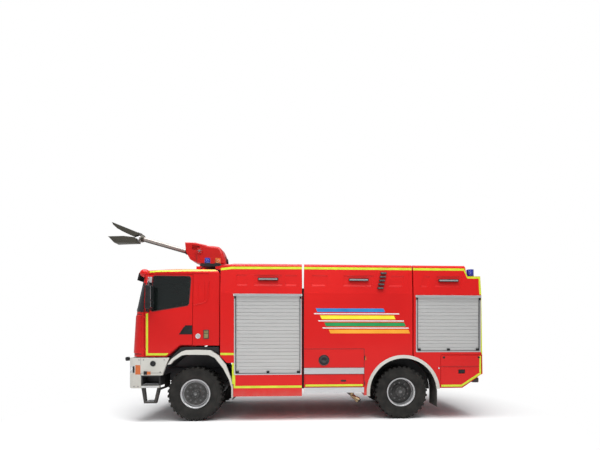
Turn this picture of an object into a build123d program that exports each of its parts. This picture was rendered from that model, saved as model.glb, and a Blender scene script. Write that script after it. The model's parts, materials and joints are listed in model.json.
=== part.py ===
"""Airport fire truck: cab-over 4x4 chassis, three body modules and a roof monitor.

Frame: +X forward, +Y to the left side, +Z up, origin on the ground under the middle
of the outline. Lengths are in millimetres. Positions along the truck are written
from the front axle, as on a chassis drawing.
"""
import os
from math import cos, pi, radians, sin, tan

from build123d import *

os.makedirs("parts", exist_ok=True)

# Axles and wheels
FRONT_AXLE_X = 1926.0
WHEELBASE = 4300.0
REAR_AXLE_X = FRONT_AXLE_X - WHEELBASE
TRACK_HALF = 1025.0
TYRE_R = 560.0
TYRE_HALF = 160.0
LUG_HEIGHT = 26.0
LUG_COUNT = 32
LUG_SLANT = 10.0
LUG_SHARE = 0.5
LUG_STAGGER = 0.3
LUG_INNER_Y = 14.0
TYRE_SIDES = 16
AXLE_Z = TYRE_R
RIM_SEAT_R = 290.5
RIM_HALF = 117.5
RIM_FLANGE_R = 303.0
RIM_WALL = 16.0
SPINDLE_R = 45.0
RUNNING = 0.05
AXLE_TUBE_R = 78.0
SEAT_GAP = 0.3
KINGPIN_Y = 870.0
KINGPIN_R = 22.0
KNUCKLE_HALF = 119.5
LUG_EYE_HALF = 158.0

# Frame
RAIL_OUT = 430.0
RAIL_WIDTH = 75.0
RAIL_WEB = 8.0
RAIL_Z = (760.0, 1030.0)
RAIL_FRONT_X = FRONT_AXLE_X + 1150.0
RAIL_REAR_X = REAR_AXLE_X - 1600.0
BODY_FLOOR_Z = 1060.0

# Cab
CAB_HALF = 1215.0
CAB_NOSE_X = FRONT_AXLE_X + 1285.0
CAB_REAR_X = FRONT_AXLE_X - 500.0
CAB_BOTTOM_Z = 1330.0
CAB_WAIST_Z = 2255.0
CAB_ROOF_Z = 3140.0
CAB_ARCH_Z = 1560.0
CAB_WALL = 60.0
CAB_CORNER_R = 250.0
SCREEN_LOW_Y = CAB_HALF - 120.0
SCREEN_HIGH_Y = CAB_HALF - 155.0
SCREEN_Z = (2285.0, 2950.0)
SCREEN_R = 70.0
NOSE_RAKE = -0.06
SCREEN_RAKE = -0.222
DOOR_GAP = 9.0
DOOR_FRONT_X = FRONT_AXLE_X + 1003.0
DOOR_REAR_X = FRONT_AXLE_X + 44.0
DOOR_EDGE_R = 12.0
DOOR_AXIS = (DOOR_FRONT_X - DOOR_EDGE_R, CAB_HALF - DOOR_EDGE_R)
PIN_R = 6.0

# Body modules
BODY_HALF = 1250.0
BODY_SIDE_TOP_Z = 2640.0
BODY_SHOULDER = (BODY_HALF - 55.0, 3215.0)
BODY_ROOF = (BODY_HALF - 100.0, 3256.0)
WIDE = BODY_HALF + 200.0
FRONT_MODULE = (FRONT_AXLE_X - 2195.0, FRONT_AXLE_X - 525.0)
MIDDLE_MODULE = (REAR_AXLE_X - 218.0, FRONT_AXLE_X - 2238.0)
REAR_MODULE = (REAR_AXLE_X - 1730.0, REAR_AXLE_X - 242.0)
TUNNEL_HALF = 750.0
BODY_WALL = 50.0
PANEL = 40.0

# Rear wheel arch
REAR_ARCH_X = REAR_AXLE_X - 25.0
REAR_ARCH_Z = 575.0
REAR_ARCH_R = 712.0
ARCH_TRIM = 68.0
LINER = 12.0

# Roof monitor
MONITOR_X = FRONT_AXLE_X - 83.0
MONITOR_PIVOT = (FRONT_AXLE_X + 150.0, 3700.0)
BARREL_TILT = 15.6


def block(x, y, z):
    """Box between the low and high values along each axis."""
    middle = Pos((x[0] + x[1]) / 2, (y[0] + y[1]) / 2, (z[0] + z[1]) / 2)
    return middle * Box(abs(x[1] - x[0]), abs(y[1] - y[0]), abs(z[1] - z[0]))


def closed_face(points, radii=None):
    """Face inside a closed outline of 3-D points, with optional corner radii."""
    if radii is None:
        return make_face(Polyline(*points, close=True))
    return make_face(FilletPolyline(*points, radius=radii, close=True))


def side_prism(outline, y, radii=None):
    """(x, z) outline filled between two values of Y."""
    face = closed_face([(px, y[0], pz) for px, pz in outline], radii)
    return extrude(face, amount=y[1] - y[0], dir=(0, 1, 0))


def plan_prism(outline, z, radii=None):
    """(x, y) outline filled between two values of Z."""
    face = closed_face([(px, py, z[0]) for px, py in outline], radii)
    return extrude(face, amount=z[1] - z[0], dir=(0, 0, 1))


def front_prism(outline, x, radii=None):
    """(y, z) outline filled between two values of X."""
    face = closed_face([(x[0], py, pz) for py, pz in outline], radii)
    return extrude(face, amount=x[1] - x[0], dir=(1, 0, 0))


def from_axle(outline):
    """(x, z) outline whose x is counted from the front axle."""
    return [(FRONT_AXLE_X + px, pz) for px, pz in outline]


def tube(start, end, radius):
    """Round bar between two points."""
    a = Vector(*start)
    b = Vector(*end)
    axis = Plane(origin=a, z_dir=b - a)
    return axis * Cylinder(radius, (b - a).length, align=(Align.CENTER, Align.CENTER, Align.MIN))


def across(x, z, radius, y):
    """Round bar along Y."""
    return tube((x, y[0], z), (x, y[1], z), radius)


def spin(profile, radii=None):
    """(y, r) profile turned about the wheel's own axle line."""
    face = closed_face([(0, py, r) for py, r in profile], radii)
    return revolve(face, axis=Axis.Y)


def right_of(shape):
    """Mirror image on the right side."""
    return mirror(shape, about=Plane.XZ)


def both(shape):
    """The left piece and its mirror image."""
    return [shape, right_of(shape)]


def keep(name, *pieces):
    """Write the solids of one node."""
    solids = []
    for piece in pieces:
        solids.extend(piece.solids())
    shape = solids[0] if len(solids) == 1 else Compound(solids)
    export_step(shape, os.path.join("parts", name + ".step"))


# Wheels, built at their own centre with +Y to the outside


def faceted_ring(profile, sides):
    """Ring of flat facets: the corners of a closed (y, r) outline, repeated round the axle."""
    rows = []
    for i in range(sides):
        turn = 2 * pi * i / sides
        rows.append([Vector(r * sin(turn), y, r * cos(turn)) for y, r in profile])
    faces = []
    for i, row in enumerate(rows):
        after = rows[(i + 1) % sides]
        for j, corner in enumerate(row):
            k = (j + 1) % len(row)
            faces.append(make_face(Polyline(corner, row[k], after[k], after[j], close=True)))
    return Solid(Shell(faces))


def make_tyre():
    """Carcass with a ring of slanted lugs on each shoulder, staggered from side to side."""
    bead = RIM_HALF - 0.5
    crown = TYRE_R - LUG_HEIGHT
    step = 360.0 / LUG_COUNT
    to_corner = 1 / cos(pi / TYRE_SIDES)
    half = [(-bead, (RIM_SEAT_R + SEAT_GAP) * to_corner), (-bead, (RIM_FLANGE_R + 1) * to_corner),
            (-TYRE_HALF, 440.0), (-TYRE_HALF, crown + 3)]
    carcass = faceted_ring(half + [(-py, r) for py, r in reversed(half)], TYRE_SIDES)
    width = 2 * pi * crown / LUG_COUNT * LUG_SHARE
    reach = (TYRE_HALF - LUG_INNER_Y) * tan(radians(LUG_SLANT))
    foot = [(-(width + reach) / 2, LUG_INNER_Y), ((width - reach) / 2, LUG_INNER_Y),
            ((width + reach) / 2, TYRE_HALF), ((reach - width) / 2, TYRE_HALF)]
    top = (TYRE_R ** 2 - ((width + reach) / 2) ** 2) ** 0.5
    lug = plan_prism(foot, (crown - 44, top))
    lugs = []
    for i in range(LUG_COUNT):
        lugs.append(Rot(0, (i + LUG_STAGGER) * step, 0) * lug)
        lugs.append(Rot(0, (i + 1 - LUG_STAGGER) * step, 0) * right_of(lug))
    return carcass.fuse(*lugs).clean()


def make_rim(disc, hub, cap_end):
    """Wheel rim, dished disc, hub with a blind bore, and brake drum."""
    barrel = [(-RIM_HALF - 9, RIM_FLANGE_R), (-RIM_HALF, RIM_FLANGE_R), (-RIM_HALF, RIM_SEAT_R),
              (RIM_HALF, RIM_SEAT_R), (RIM_HALF, RIM_FLANGE_R), (RIM_HALF + 9, RIM_FLANGE_R),
              (RIM_HALF + 9, RIM_FLANGE_R - 20), (RIM_HALF, RIM_SEAT_R - RIM_WALL),
              (-RIM_HALF, RIM_SEAT_R - RIM_WALL), (-RIM_HALF - 9, RIM_FLANGE_R - 20)]
    drum = [(-120, 185), (-120, 205), (-40, 205), (-40, 120), (-60, 120), (-60, 185)]
    rim = spin(barrel) + spin(disc) + spin(hub) + spin(drum)
    bore = across(0, 0, SPINDLE_R + RUNNING, (-200, cap_end - 20))
    return rim - bore


FRONT_DISC = [(40, 276), (58, 276), (100, 232), (100, 110), (84, 110), (84, 226)]
FRONT_HUB = [(-60, 0), (-60, 125), (84, 125), (112, 92), (128, 88), (128, 0)]
REAR_DISC = [(-58, 276), (-40, 276), (-30, 236), (-20, 120), (-40, 120), (-50, 232)]
REAR_HUB = [(-60, 0), (-60, 150), (20, 150), (34, 128), (70, 112), (70, 0)]

tyre = make_tyre()
front_rim = make_rim(FRONT_DISC, FRONT_HUB, 128)
rear_rim = make_rim(REAR_DISC, REAR_HUB, 70)
for place, axle_x, rim in (("front", FRONT_AXLE_X, front_rim), ("rear", REAR_AXLE_X, rear_rim)):
    spot = Pos(axle_x, TRACK_HALF, AXLE_Z)
    keep("tyre_" + place + "_left", spot * tyre)
    keep("tyre_" + place + "_right", right_of(spot * tyre))
    keep("rim_" + place + "_left", spot * rim)
    keep("rim_" + place + "_right", right_of(spot * rim))

# Steering knuckles and axles

spindle_end = TRACK_HALF + 128 - 24
knuckle = tube((FRONT_AXLE_X, KINGPIN_Y, AXLE_Z - KNUCKLE_HALF),
               (FRONT_AXLE_X, KINGPIN_Y, AXLE_Z + KNUCKLE_HALF), 50.0)
knuckle += tube((FRONT_AXLE_X, KINGPIN_Y, AXLE_Z - LUG_EYE_HALF),
                (FRONT_AXLE_X, KINGPIN_Y, AXLE_Z + LUG_EYE_HALF), KINGPIN_R)
knuckle += across(FRONT_AXLE_X, AXLE_Z, SPINDLE_R, (KINGPIN_Y, spindle_end))
knuckle += across(FRONT_AXLE_X, AXLE_Z, 90.0, (KINGPIN_Y + 30, KINGPIN_Y + 55))
keep("knuckle_left", knuckle)
keep("knuckle_right", right_of(knuckle))

YOKE_Y = 700.0
YOKE_WALL = 60.0
front_axle = across(FRONT_AXLE_X, AXLE_Z, AXLE_TUBE_R, (-YOKE_Y, YOKE_Y))
front_axle += Pos(FRONT_AXLE_X, 90, AXLE_Z) * Sphere(185)
for side in (1, -1):
    inner, outer = sorted((side * YOKE_Y, side * (YOKE_Y + YOKE_WALL)))
    front_axle += block((FRONT_AXLE_X - 45, FRONT_AXLE_X + 45), (inner, outer),
                        (AXLE_Z - LUG_EYE_HALF, AXLE_Z + LUG_EYE_HALF))
    for level in (-1, 1):
        z = sorted((AXLE_Z + level * (KNUCKLE_HALF + 0.5), AXLE_Z + level * LUG_EYE_HALF))
        arm = block((FRONT_AXLE_X - 45, FRONT_AXLE_X + 45), sorted((side * YOKE_Y, side * KINGPIN_Y)), z)
        arm += tube((FRONT_AXLE_X, side * KINGPIN_Y, z[0]), (FRONT_AXLE_X, side * KINGPIN_Y, z[1]), 45.0)
        arm -= tube((FRONT_AXLE_X, side * KINGPIN_Y, z[0] - 1), (FRONT_AXLE_X, side * KINGPIN_Y, z[1] + 1),
                    KINGPIN_R + RUNNING)
        front_axle += arm
keep("front_axle", front_axle)

rear_axle = across(REAR_AXLE_X, AXLE_Z, AXLE_TUBE_R, (-KINGPIN_Y, KINGPIN_Y))
rear_axle += Pos(REAR_AXLE_X, 0, AXLE_Z) * Sphere(200)
rear_spindle = TRACK_HALF + 70 - 24
rear_axle += across(REAR_AXLE_X, AXLE_Z, SPINDLE_R, (-rear_spindle, rear_spindle))
for side in (1, -1):
    rear_axle += across(REAR_AXLE_X, AXLE_Z, 120.0, (side * 840.0, side * 872.0))
keep("rear_axle", rear_axle)

# Leaf springs: one curved pack each side, with an eye block at each end
SPRING_REACH = 720.0
SPRING_SEAT_Z = AXLE_Z + 62.0
springs = []
for axle_x in (FRONT_AXLE_X, REAR_AXLE_X):
    lower = [(axle_x - SPRING_REACH, 0, 700), (axle_x, 0, SPRING_SEAT_Z), (axle_x + SPRING_REACH, 0, 700)]
    upper = [(px, py, pz + 50) for px, py, pz in lower]
    edges = [ThreePointArc(*lower), Line(lower[2], upper[2]), ThreePointArc(*upper), Line(upper[0], lower[0])]
    leaf = extrude(make_face(edges), amount=RAIL_WIDTH, dir=(0, 1, 0))
    leaf = Pos(0, RAIL_OUT - RAIL_WIDTH, 0) * leaf
    for end in (-1, 1):
        eye_x = axle_x + end * (SPRING_REACH - 25)
        leaf += block((eye_x - 25, eye_x + 25), (RAIL_OUT - RAIL_WIDTH, RAIL_OUT), (710, RAIL_Z[0]))
    leaf -= across(axle_x, AXLE_Z, AXLE_TUBE_R + SEAT_GAP, (0, 900))
    springs.extend(both(leaf))
keep("leaf_springs", *springs)

# Frame: channel rails with body bearers, cross members, cab mounts, underrun bar and tow jaw

BEARER_X = (RAIL_REAR_X, FRONT_MODULE[1] - 20)
rail = block((RAIL_REAR_X, RAIL_FRONT_X), (RAIL_OUT - RAIL_WIDTH, RAIL_OUT), RAIL_Z)
rail -= block((RAIL_REAR_X - 1, RAIL_FRONT_X + 1), (0, RAIL_OUT - RAIL_WEB),
              (RAIL_Z[0] + RAIL_WEB, RAIL_Z[1] - RAIL_WEB))
rail += block(BEARER_X, (RAIL_OUT - RAIL_WIDTH, RAIL_OUT), (RAIL_Z[1], BODY_FLOOR_Z))
keep("frame_rails", *both(rail))

inner_web = RAIL_OUT - RAIL_WEB
CROSS_Z = (940.0, 1020.0)
MEMBERS = (FRONT_AXLE_X + 1100, FRONT_AXLE_X - 1280, FRONT_AXLE_X - 2700, REAR_AXLE_X + 800, REAR_AXLE_X - 650,
           REAR_AXLE_X - 1560)
BUMPER_NOSE_X = FRONT_AXLE_X + 1340.0
BUMPER_WALL = 50.0
members = [block((x - 35, x + 35), (-inner_web, inner_web), CROSS_Z) for x in MEMBERS]
members.append(block((RAIL_FRONT_X, BUMPER_NOSE_X - BUMPER_WALL), (-RAIL_OUT, RAIL_OUT), (900, 980)))
keep("cross_members", *members)

cab_mounts = []
CAB_PADS = ((CAB_NOSE_X - 330, CAB_NOSE_X - 200, CAB_BOTTOM_Z),
            (CAB_REAR_X + 60, CAB_REAR_X + 130, CAB_ARCH_Z))
for low, high, top in CAB_PADS:
    cab_mounts.extend(both(block((low, high), (RAIL_OUT - RAIL_WIDTH, RAIL_OUT), (RAIL_Z[1], top))))
keep("cab_mounts", *cab_mounts)

UNDERRUN_X = (RAIL_REAR_X - 120, RAIL_REAR_X)
UNDERRUN_Z = (745.0, 845.0)
UNDERRUN_HALF = 1070.0
underrun = block(UNDERRUN_X, (-UNDERRUN_HALF, UNDERRUN_HALF), UNDERRUN_Z)
TOW_X = REAR_MODULE[0] - 42.0
TOW_R = 20.5
TOW_HALF = 40.0
TOW_LEVELS = (850.0, 940.0)
TOW_PLATE = 30.0
jaw_z = (TOW_LEVELS[0], TOW_LEVELS[1] + TOW_PLATE)
tow_jaw = block((RAIL_REAR_X - 40, RAIL_REAR_X), (-inner_web, inner_web), jaw_z)
for low in TOW_LEVELS:
    plate = block((TOW_X, RAIL_REAR_X), (-TOW_HALF, TOW_HALF), (low, low + TOW_PLATE))
    plate += tube((TOW_X, 0, low), (TOW_X, 0, low + TOW_PLATE), TOW_HALF)
    tow_jaw += plate - tube((TOW_X, 0, low - 1), (TOW_X, 0, low + TOW_PLATE + 1), TOW_R)
underrun += tow_jaw
hanger_y = (RAIL_OUT - RAIL_WIDTH, RAIL_OUT)
for hanger in both(block((RAIL_REAR_X - 30, RAIL_REAR_X), hanger_y, (UNDERRUN_Z[0], 970))):
    underrun += hanger
keep("rear_underrun", underrun)

# Engine block with gearbox, transfer case and shafts
ENGINE_X = (FRONT_AXLE_X - 450.0, FRONT_AXLE_X + 700.0)
engine = block(ENGINE_X, (-340, 340), (820, 1480))
engine += block((ENGINE_X[0] + 200, ENGINE_X[0] + 300), (-inner_web, inner_web), (860, 940))
engine += block((ENGINE_X[0] - 700, ENGINE_X[0]), (-190, 190), (800, 930))
TRANSFER_X = FRONT_AXLE_X - 1850.0
engine += block((TRANSFER_X - 200, TRANSFER_X + 200), (-230, 230), (640, 930))
engine += tube((TRANSFER_X, 0, 870), (ENGINE_X[0] - 300, 0, 870), 45.0)
engine += tube((TRANSFER_X, 90, 720), (FRONT_AXLE_X - 186, 90, AXLE_Z + 40), 40.0)
engine += tube((TRANSFER_X, 0, 720), (REAR_AXLE_X + 201, 0, AXLE_Z + 40), 40.0)
keep("powertrain", engine)

# Cab


def cab_form(inset):
    """Outer form of the cab, or a smaller copy of it inside by the inset."""
    half = CAB_HALF - inset
    corner = CAB_CORNER_R - inset
    rear = CAB_REAR_X + inset
    waist_nose = CAB_NOSE_X + NOSE_RAKE * (CAB_WAIST_Z - CAB_BOTTOM_Z) - inset
    tail = rear - 600
    plan = [(tail, -half), (waist_nose, -half), (waist_nose, half), (tail, half)]
    face = closed_face([(px, py, CAB_WAIST_Z) for px, py in plan], [0, corner, corner, 0])
    up = CAB_ROOF_Z - CAB_WAIST_Z + 50
    down = CAB_WAIST_Z - CAB_BOTTOM_Z + 50
    upper = extrude(face, amount=up * (1 + SCREEN_RAKE ** 2) ** 0.5, dir=(SCREEN_RAKE, 0, 1))
    lower = extrude(face, amount=down * (1 + NOSE_RAKE ** 2) ** 0.5, dir=(-NOSE_RAKE, 0, -1))
    roof_front = CAB_NOSE_X - 345
    side = [(rear, CAB_ARCH_Z + inset), (rear, CAB_ROOF_Z - inset), (CAB_REAR_X + 900, CAB_ROOF_Z - 5 - inset),
            (roof_front, CAB_ROOF_Z - 50 - inset), (CAB_NOSE_X - 150, CAB_ROOF_Z - 185 - inset),
            (CAB_NOSE_X + 60, CAB_WAIST_Z), (CAB_NOSE_X + 60, CAB_BOTTOM_Z + inset),
            (FRONT_AXLE_X + 560 + inset * 0.4, CAB_BOTTOM_Z + inset),
            (FRONT_AXLE_X + 290 + inset * 0.4, CAB_ARCH_Z + inset)]
    rounds = [0, 130 - inset, 0, 0, 60, 0, 0, 30, 30]
    front = [(-half, 1200), (-half, CAB_WAIST_Z), (-half + 37, CAB_ROOF_Z - inset), (half - 37, CAB_ROOF_Z - inset),
             (half, CAB_WAIST_Z), (half, 1200)]
    bends = [0, 0, 95 - inset, 95 - inset, 0, 0]
    form = (upper + lower) & side_prism(side, (-WIDE, WIDE), rounds)
    return form & front_prism(front, (CAB_REAR_X - 700, CAB_NOSE_X + 200), bends)


DOOR_OUTLINE = [(DOOR_FRONT_X, CAB_BOTTOM_Z + 18), (DOOR_FRONT_X, 3010), (DOOR_REAR_X, 3010), (DOOR_REAR_X, 1573),
                (FRONT_AXLE_X + 297, 1573), (FRONT_AXLE_X + 570, CAB_BOTTOM_Z + 18)]
SIDE_WINDOW = from_axle([(839, 2979), (88, 2975), (125, 2389), (885, 2254)])
DOOR_FLOOR_Z = CAB_ARCH_Z + CAB_WALL + 10


def door_zone(grow):
    """Left door's space: wall depth only beside the floor, deeper above it."""
    face = closed_face([(px, 0, pz) for px, pz in DOOR_OUTLINE])
    if grow:
        face = offset(face, grow, kind=Kind.INTERSECTION)
    whole = extrude(face, amount=2000, dir=(0, 1, 0))
    low = block((CAB_REAR_X, CAB_NOSE_X), (CAB_HALF - CAB_WALL - grow, WIDE), (1200, DOOR_FLOOR_Z))
    high = block((CAB_REAR_X, CAB_NOSE_X), (CAB_HALF - 2 * CAB_WALL - grow, WIDE), (DOOR_FLOOR_Z, 3200))
    return whole & (low + high)


cab_outer = cab_form(0)
cab_walls = cab_outer - cab_form(CAB_WALL)
STEP_DEPTH = 9.0
GLASSHOUSE = from_axle([(980, 2236), (880, 2262), (131, 2402), (-140, 2424), (-262, 2560), (-292, 3052),
                        (905, 3052)])
glasshouse_step = side_prism(GLASSHOUSE, (0, WIDE), [0, 0, 200, 90, 90, 40, 60]) - cab_form(STEP_DEPTH)
cab_walls = cab_walls - glasshouse_step - right_of(glasshouse_step)


def screen_zone(gap):
    """Prism through the windscreen opening, less a gap all round."""
    low_y, high_y, low_z, high_z = SCREEN_LOW_Y - gap, SCREEN_HIGH_Y - gap, SCREEN_Z[0] + gap, SCREEN_Z[1] - gap
    outline = [(-low_y, low_z), (-high_y, high_z), (high_y, high_z), (low_y, low_z)]
    return front_prism(outline, (CAB_NOSE_X - 330, CAB_NOSE_X + 100), [SCREEN_R - gap] * 4)


cab_shell = cab_walls - screen_zone(0) - door_zone(DOOR_GAP) - right_of(door_zone(DOOR_GAP))
tunnel = block((FRONT_AXLE_X + 200, FRONT_AXLE_X + 800), (-400, 400), (CAB_BOTTOM_Z, CAB_ARCH_Z + CAB_WALL))
cab_shell += tunnel
cab_shell -= block((FRONT_AXLE_X + 100, FRONT_AXLE_X + 760), (-360, 360), (CAB_BOTTOM_Z - 10, CAB_ARCH_Z))
HINGE_LEVELS = (1480.0, 2140.0)
HINGE_HALF = 22.0
LUG_R = DOOR_EDGE_R - 1
axis_x, axis_y = DOOR_AXIS
hinges = []
for level in HINGE_LEVELS:
    lug = block((axis_x, DOOR_FRONT_X + DOOR_GAP + 20), (axis_y - LUG_R, axis_y + LUG_R),
                (level - HINGE_HALF, level + HINGE_HALF))
    lug += tube((axis_x, axis_y, level - HINGE_HALF), (axis_x, axis_y, level + HINGE_HALF), LUG_R)
    lug += tube((axis_x, axis_y, level - 60), (axis_x, axis_y, level + 60), PIN_R)
    hinges.append(lug)
for lug in hinges:
    cab_shell = cab_shell + lug + right_of(lug)
keep("cab_shell", cab_shell)

screen = (cab_form(12) - cab_form(18)) & screen_zone(SEAT_GAP)
keep("windscreen", screen)

door = cab_walls & door_zone(0)
WINDOW_Y = (CAB_HALF - 300, CAB_HALF + 60)
door -= side_prism(SIDE_WINDOW, WINDOW_Y, [45, 45, 45, 45])
hinge_round = block((DOOR_AXIS[0], DOOR_FRONT_X + 1), (DOOR_AXIS[1], CAB_HALF + 1), (1300, CAB_WAIST_Z + 200))
hinge_round -= tube((DOOR_AXIS[0], DOOR_AXIS[1], 1300), (DOOR_AXIS[0], DOOR_AXIS[1], 2500), DOOR_EDGE_R)
door -= hinge_round
for level in HINGE_LEVELS:
    door -= block((axis_x - LUG_R - 6, DOOR_FRONT_X + 1), (axis_y - LUG_R - 6, CAB_HALF + 1),
                  (level - HINGE_HALF - 6, level + HINGE_HALF + 6))
    door -= tube((axis_x, axis_y, level - 62), (axis_x, axis_y, level + 62), PIN_R + RUNNING)
HANDLE = from_axle([(319, 1785), (46, 1785), (46, 1975), (181, 1975)])
handle_pocket = side_prism(HANDLE, (CAB_HALF - 22, CAB_HALF + 20))
door -= handle_pocket
keep("door_left", door)
keep("door_right", right_of(door))

pane = (cab_form(14) - cab_form(19)) & side_prism(SIDE_WINDOW, WINDOW_Y, [45, 45, 45, 45])
keep("door_glass_left", pane)
keep("door_glass_right", right_of(pane))

fittings = side_prism(from_axle([(316, 1788), (52, 1788), (52, 1972), (182, 1972)]),
                      (CAB_HALF - 22, CAB_HALF - 6))
MIRROR_X = (FRONT_AXLE_X + 790.0, FRONT_AXLE_X + 890.0)
MIRROR_Y = (CAB_HALF + 60.0, CAB_HALF + 265.0)
head = block(MIRROR_X, MIRROR_Y, (2290, 2770))
head = fillet(head.edges(), 28)
ARM_X = FRONT_AXLE_X + 940.0
arms = tube((ARM_X, CAB_HALF - 45, 2235), (ARM_X - 60, MIRROR_Y[0] + 60, 2300), 18.0)
arms += tube((ARM_X, CAB_HALF - 65, 2880), (ARM_X - 70, MIRROR_Y[0] + 60, 2750), 18.0)
mirror_left = (head + arms) - cab_outer
keep("door_fittings_left", fittings, *mirror_left.solids())
keep("door_fittings_right", right_of(fittings), *right_of(mirror_left).solids())

# Grille bars on the cab's front face
front_band = cab_form(-18) - cab_form(-SEAT_GAP)
bars = []
for i in range(6):
    z = 1480 + i * 118
    bar = block((CAB_NOSE_X - 200, CAB_NOSE_X + 100), (-CAB_HALF + 395, CAB_HALF - 395), (z, z + 70))
    bar = front_band & bar
    bars.extend(bar.solids())
keep("grille", *bars)

visor_outline = from_axle([(1040, 3085), (1110, 3100), (1180, 3062), (1216, 2912), (1196, 2905), (1150, 3005),
                           (1050, 3000)])
visor = side_prism(visor_outline, (-CAB_HALF + 175, CAB_HALF - 175)) - cab_form(-SEAT_GAP)
keep("sun_visor", visor)

# Cab interior
seats = []
for y in (-560, 560):
    base = block((FRONT_AXLE_X + 20, FRONT_AXLE_X + 480), (y - 240, y + 240), (CAB_ARCH_Z + CAB_WALL, 2010))
    cushion = side_prism(from_axle([(-20, 2010), (520, 2010), (535, 2110), (100, 2130)]), (y - 250, y + 250))
    back = side_prism(from_axle([(-20, 2010), (100, 2130), (-10, 2700), (-120, 2700)]), (y - 240, y + 240))
    rest = side_prism(from_axle([(-20, 2700), (-100, 2700), (-115, 2860), (-45, 2860)]), (y - 130, y + 130))
    seats.append(base + cushion + back + rest)
keep("seats", *seats)

dash_outline = from_axle([(880, 1700), (1130, 1700), (1150, 2200), (960, 2230), (860, 2080)])
dash = side_prism(dash_outline, (-CAB_HALF + 125, CAB_HALF - 125))
dash += block((FRONT_AXLE_X + 900, FRONT_AXLE_X + 1100), (-200, 200), (CAB_BOTTOM_Z, 1700))
column = tube((FRONT_AXLE_X + 900, 560, 2050), (FRONT_AXLE_X + 700, 560, 2200), 28.0)
wheel_plane = Plane(origin=(FRONT_AXLE_X + 695, 560, 2205), z_dir=(-0.8, 0, 0.6))
steering = wheel_plane * (Torus(215, 16) + Box(420, 40, 14) + Box(40, 420, 14))
dash = dash & cab_form(CAB_WALL + SEAT_GAP)
keep("dashboard", dash + column + steering)

# Bumper with lamp pockets, and the lamps that fill them
BUMPER_HALF = CAB_HALF + 20.0


def bumper_form(inset, outline):
    """Side outline held inside a rounded plan."""
    half = BUMPER_HALF - inset
    nose = BUMPER_NOSE_X - inset
    corner = 180.0 - inset
    tail = FRONT_AXLE_X + 300
    plan = [(tail, -half), (nose, -half), (nose, half), (tail, half)]
    return plan_prism(plan, (600, 1400), [0, corner, corner, 0]) & side_prism(outline, (-WIDE, WIDE))


BUMPER_OUTLINE = from_axle([(500, 1312), (560, 1176), (640, 955), (1062, 955), (1062, 695), (1300, 695),
                            (1345, 760), (1345, 1200), (1310, 1312)])
bumper_outer = bumper_form(0, BUMPER_OUTLINE)
bumper = bumper_outer - bumper_form(BUMPER_WALL, [(0, 0), (0, 2000), (5000, 2000), (5000, 0)])
LAMP_ZONE = block((FRONT_AXLE_X + 1184, FRONT_AXLE_X + 1400), (BUMPER_HALF - 475, WIDE), (1005, 1150))
AMBER_ZONE = block((FRONT_AXLE_X + 1071, FRONT_AXLE_X + 1172), (BUMPER_HALF - 135, WIDE), (973, 1166))
intake = block((BUMPER_NOSE_X - 100, BUMPER_NOSE_X + 20), (-640, 640), (1010, 1150))
lower_intake = block((BUMPER_NOSE_X - 100, BUMPER_NOSE_X + 20), (-800, 800), (780, 880))
bumper_shell = bumper - intake - lower_intake
for zone in (LAMP_ZONE, AMBER_ZONE):
    bumper_shell = bumper_shell - zone - right_of(zone)
sill_plate = block((FRONT_AXLE_X + 700, FRONT_AXLE_X + 1062), (BUMPER_HALF - 85, BUMPER_HALF - 7), (700, 745))
bumper_shell = bumper_shell + sill_plate + right_of(sill_plate)
keep("bumper", bumper_shell)


def shrink(zone):
    """Zone less a fit gap all round."""
    box = zone.bounding_box()
    return block((box.min.X + SEAT_GAP, box.max.X - SEAT_GAP), (box.min.Y + SEAT_GAP, box.max.Y - SEAT_GAP),
                 (box.min.Z + SEAT_GAP, box.max.Z - SEAT_GAP))


keep("headlamps", *both(bumper & shrink(LAMP_ZONE)))
amber = [bumper & shrink(AMBER_ZONE)]
amber.append(block((FRONT_AXLE_X + 871, FRONT_AXLE_X + 998), (BUMPER_HALF, BUMPER_HALF + 12), (972, 1034)))

# Entry steps: a black box with a tread, and a step hung below it
step = block((FRONT_AXLE_X + 680, FRONT_AXLE_X + 1056), (BUMPER_HALF - 275, BUMPER_HALF - 10), (745, 955))
step -= block((FRONT_AXLE_X + 704, FRONT_AXLE_X + 1032), (BUMPER_HALF - 235, WIDE), (775, 925))
leg_outer = from_axle([(1060, 700), (1010, 385), (768, 385), (690, 700)])
leg_inner = from_axle([(1006, 720), (972, 425), (808, 425), (742, 720)])
hung = side_prism(leg_outer, (BUMPER_HALF - 105, BUMPER_HALF - 20)) - side_prism(leg_inner, (0, WIDE))
hung += block((FRONT_AXLE_X + 800, FRONT_AXLE_X + 980), (BUMPER_HALF - 195, BUMPER_HALF - 20), (385, 425))
keep("entry_steps", *both(step), *both(hung))

# Body modules


def body_section(x, inset=0):
    """The body's cross section between two values of X, or a smaller one inside by the inset."""
    left = [(BODY_HALF - inset, 200), (BODY_HALF - inset, BODY_SIDE_TOP_Z),
            (BODY_SHOULDER[0] - inset, BODY_SHOULDER[1]), (BODY_ROOF[0] - inset, BODY_ROOF[1] - inset)]
    return front_prism(left + [(-py, pz) for py, pz in reversed(left)], x)


def module(x, outline, arch=True):
    """Solid module: side outline held inside the body's cross section."""
    solid = body_section(x) & side_prism(outline, (-WIDE, WIDE))
    solid -= block((x[0] - 1, x[1] + 1), (-TUNNEL_HALF, TUNNEL_HALF), (0, BODY_FLOOR_Z))
    if arch:
        for side in (1, -1):
            low, high = sorted((side * (TUNNEL_HALF - 1), side * WIDE))
            solid -= across(REAR_ARCH_X, REAR_ARCH_Z, REAR_ARCH_R + LINER + SEAT_GAP, (low, high))
            low, high = sorted((side * (BODY_HALF - 15), side * WIDE))
            solid -= across(REAR_ARCH_X, REAR_ARCH_Z, REAR_ARCH_R + ARCH_TRIM + SEAT_GAP, (low, high))
    return solid


def roof_well(x):
    """Sunk walkway in the roof."""
    return block(x, (-BODY_ROOF[0] + 60, BODY_ROOF[0] - 60), (BODY_ROOF[1] - 45, BODY_ROOF[1] + 10))


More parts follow.
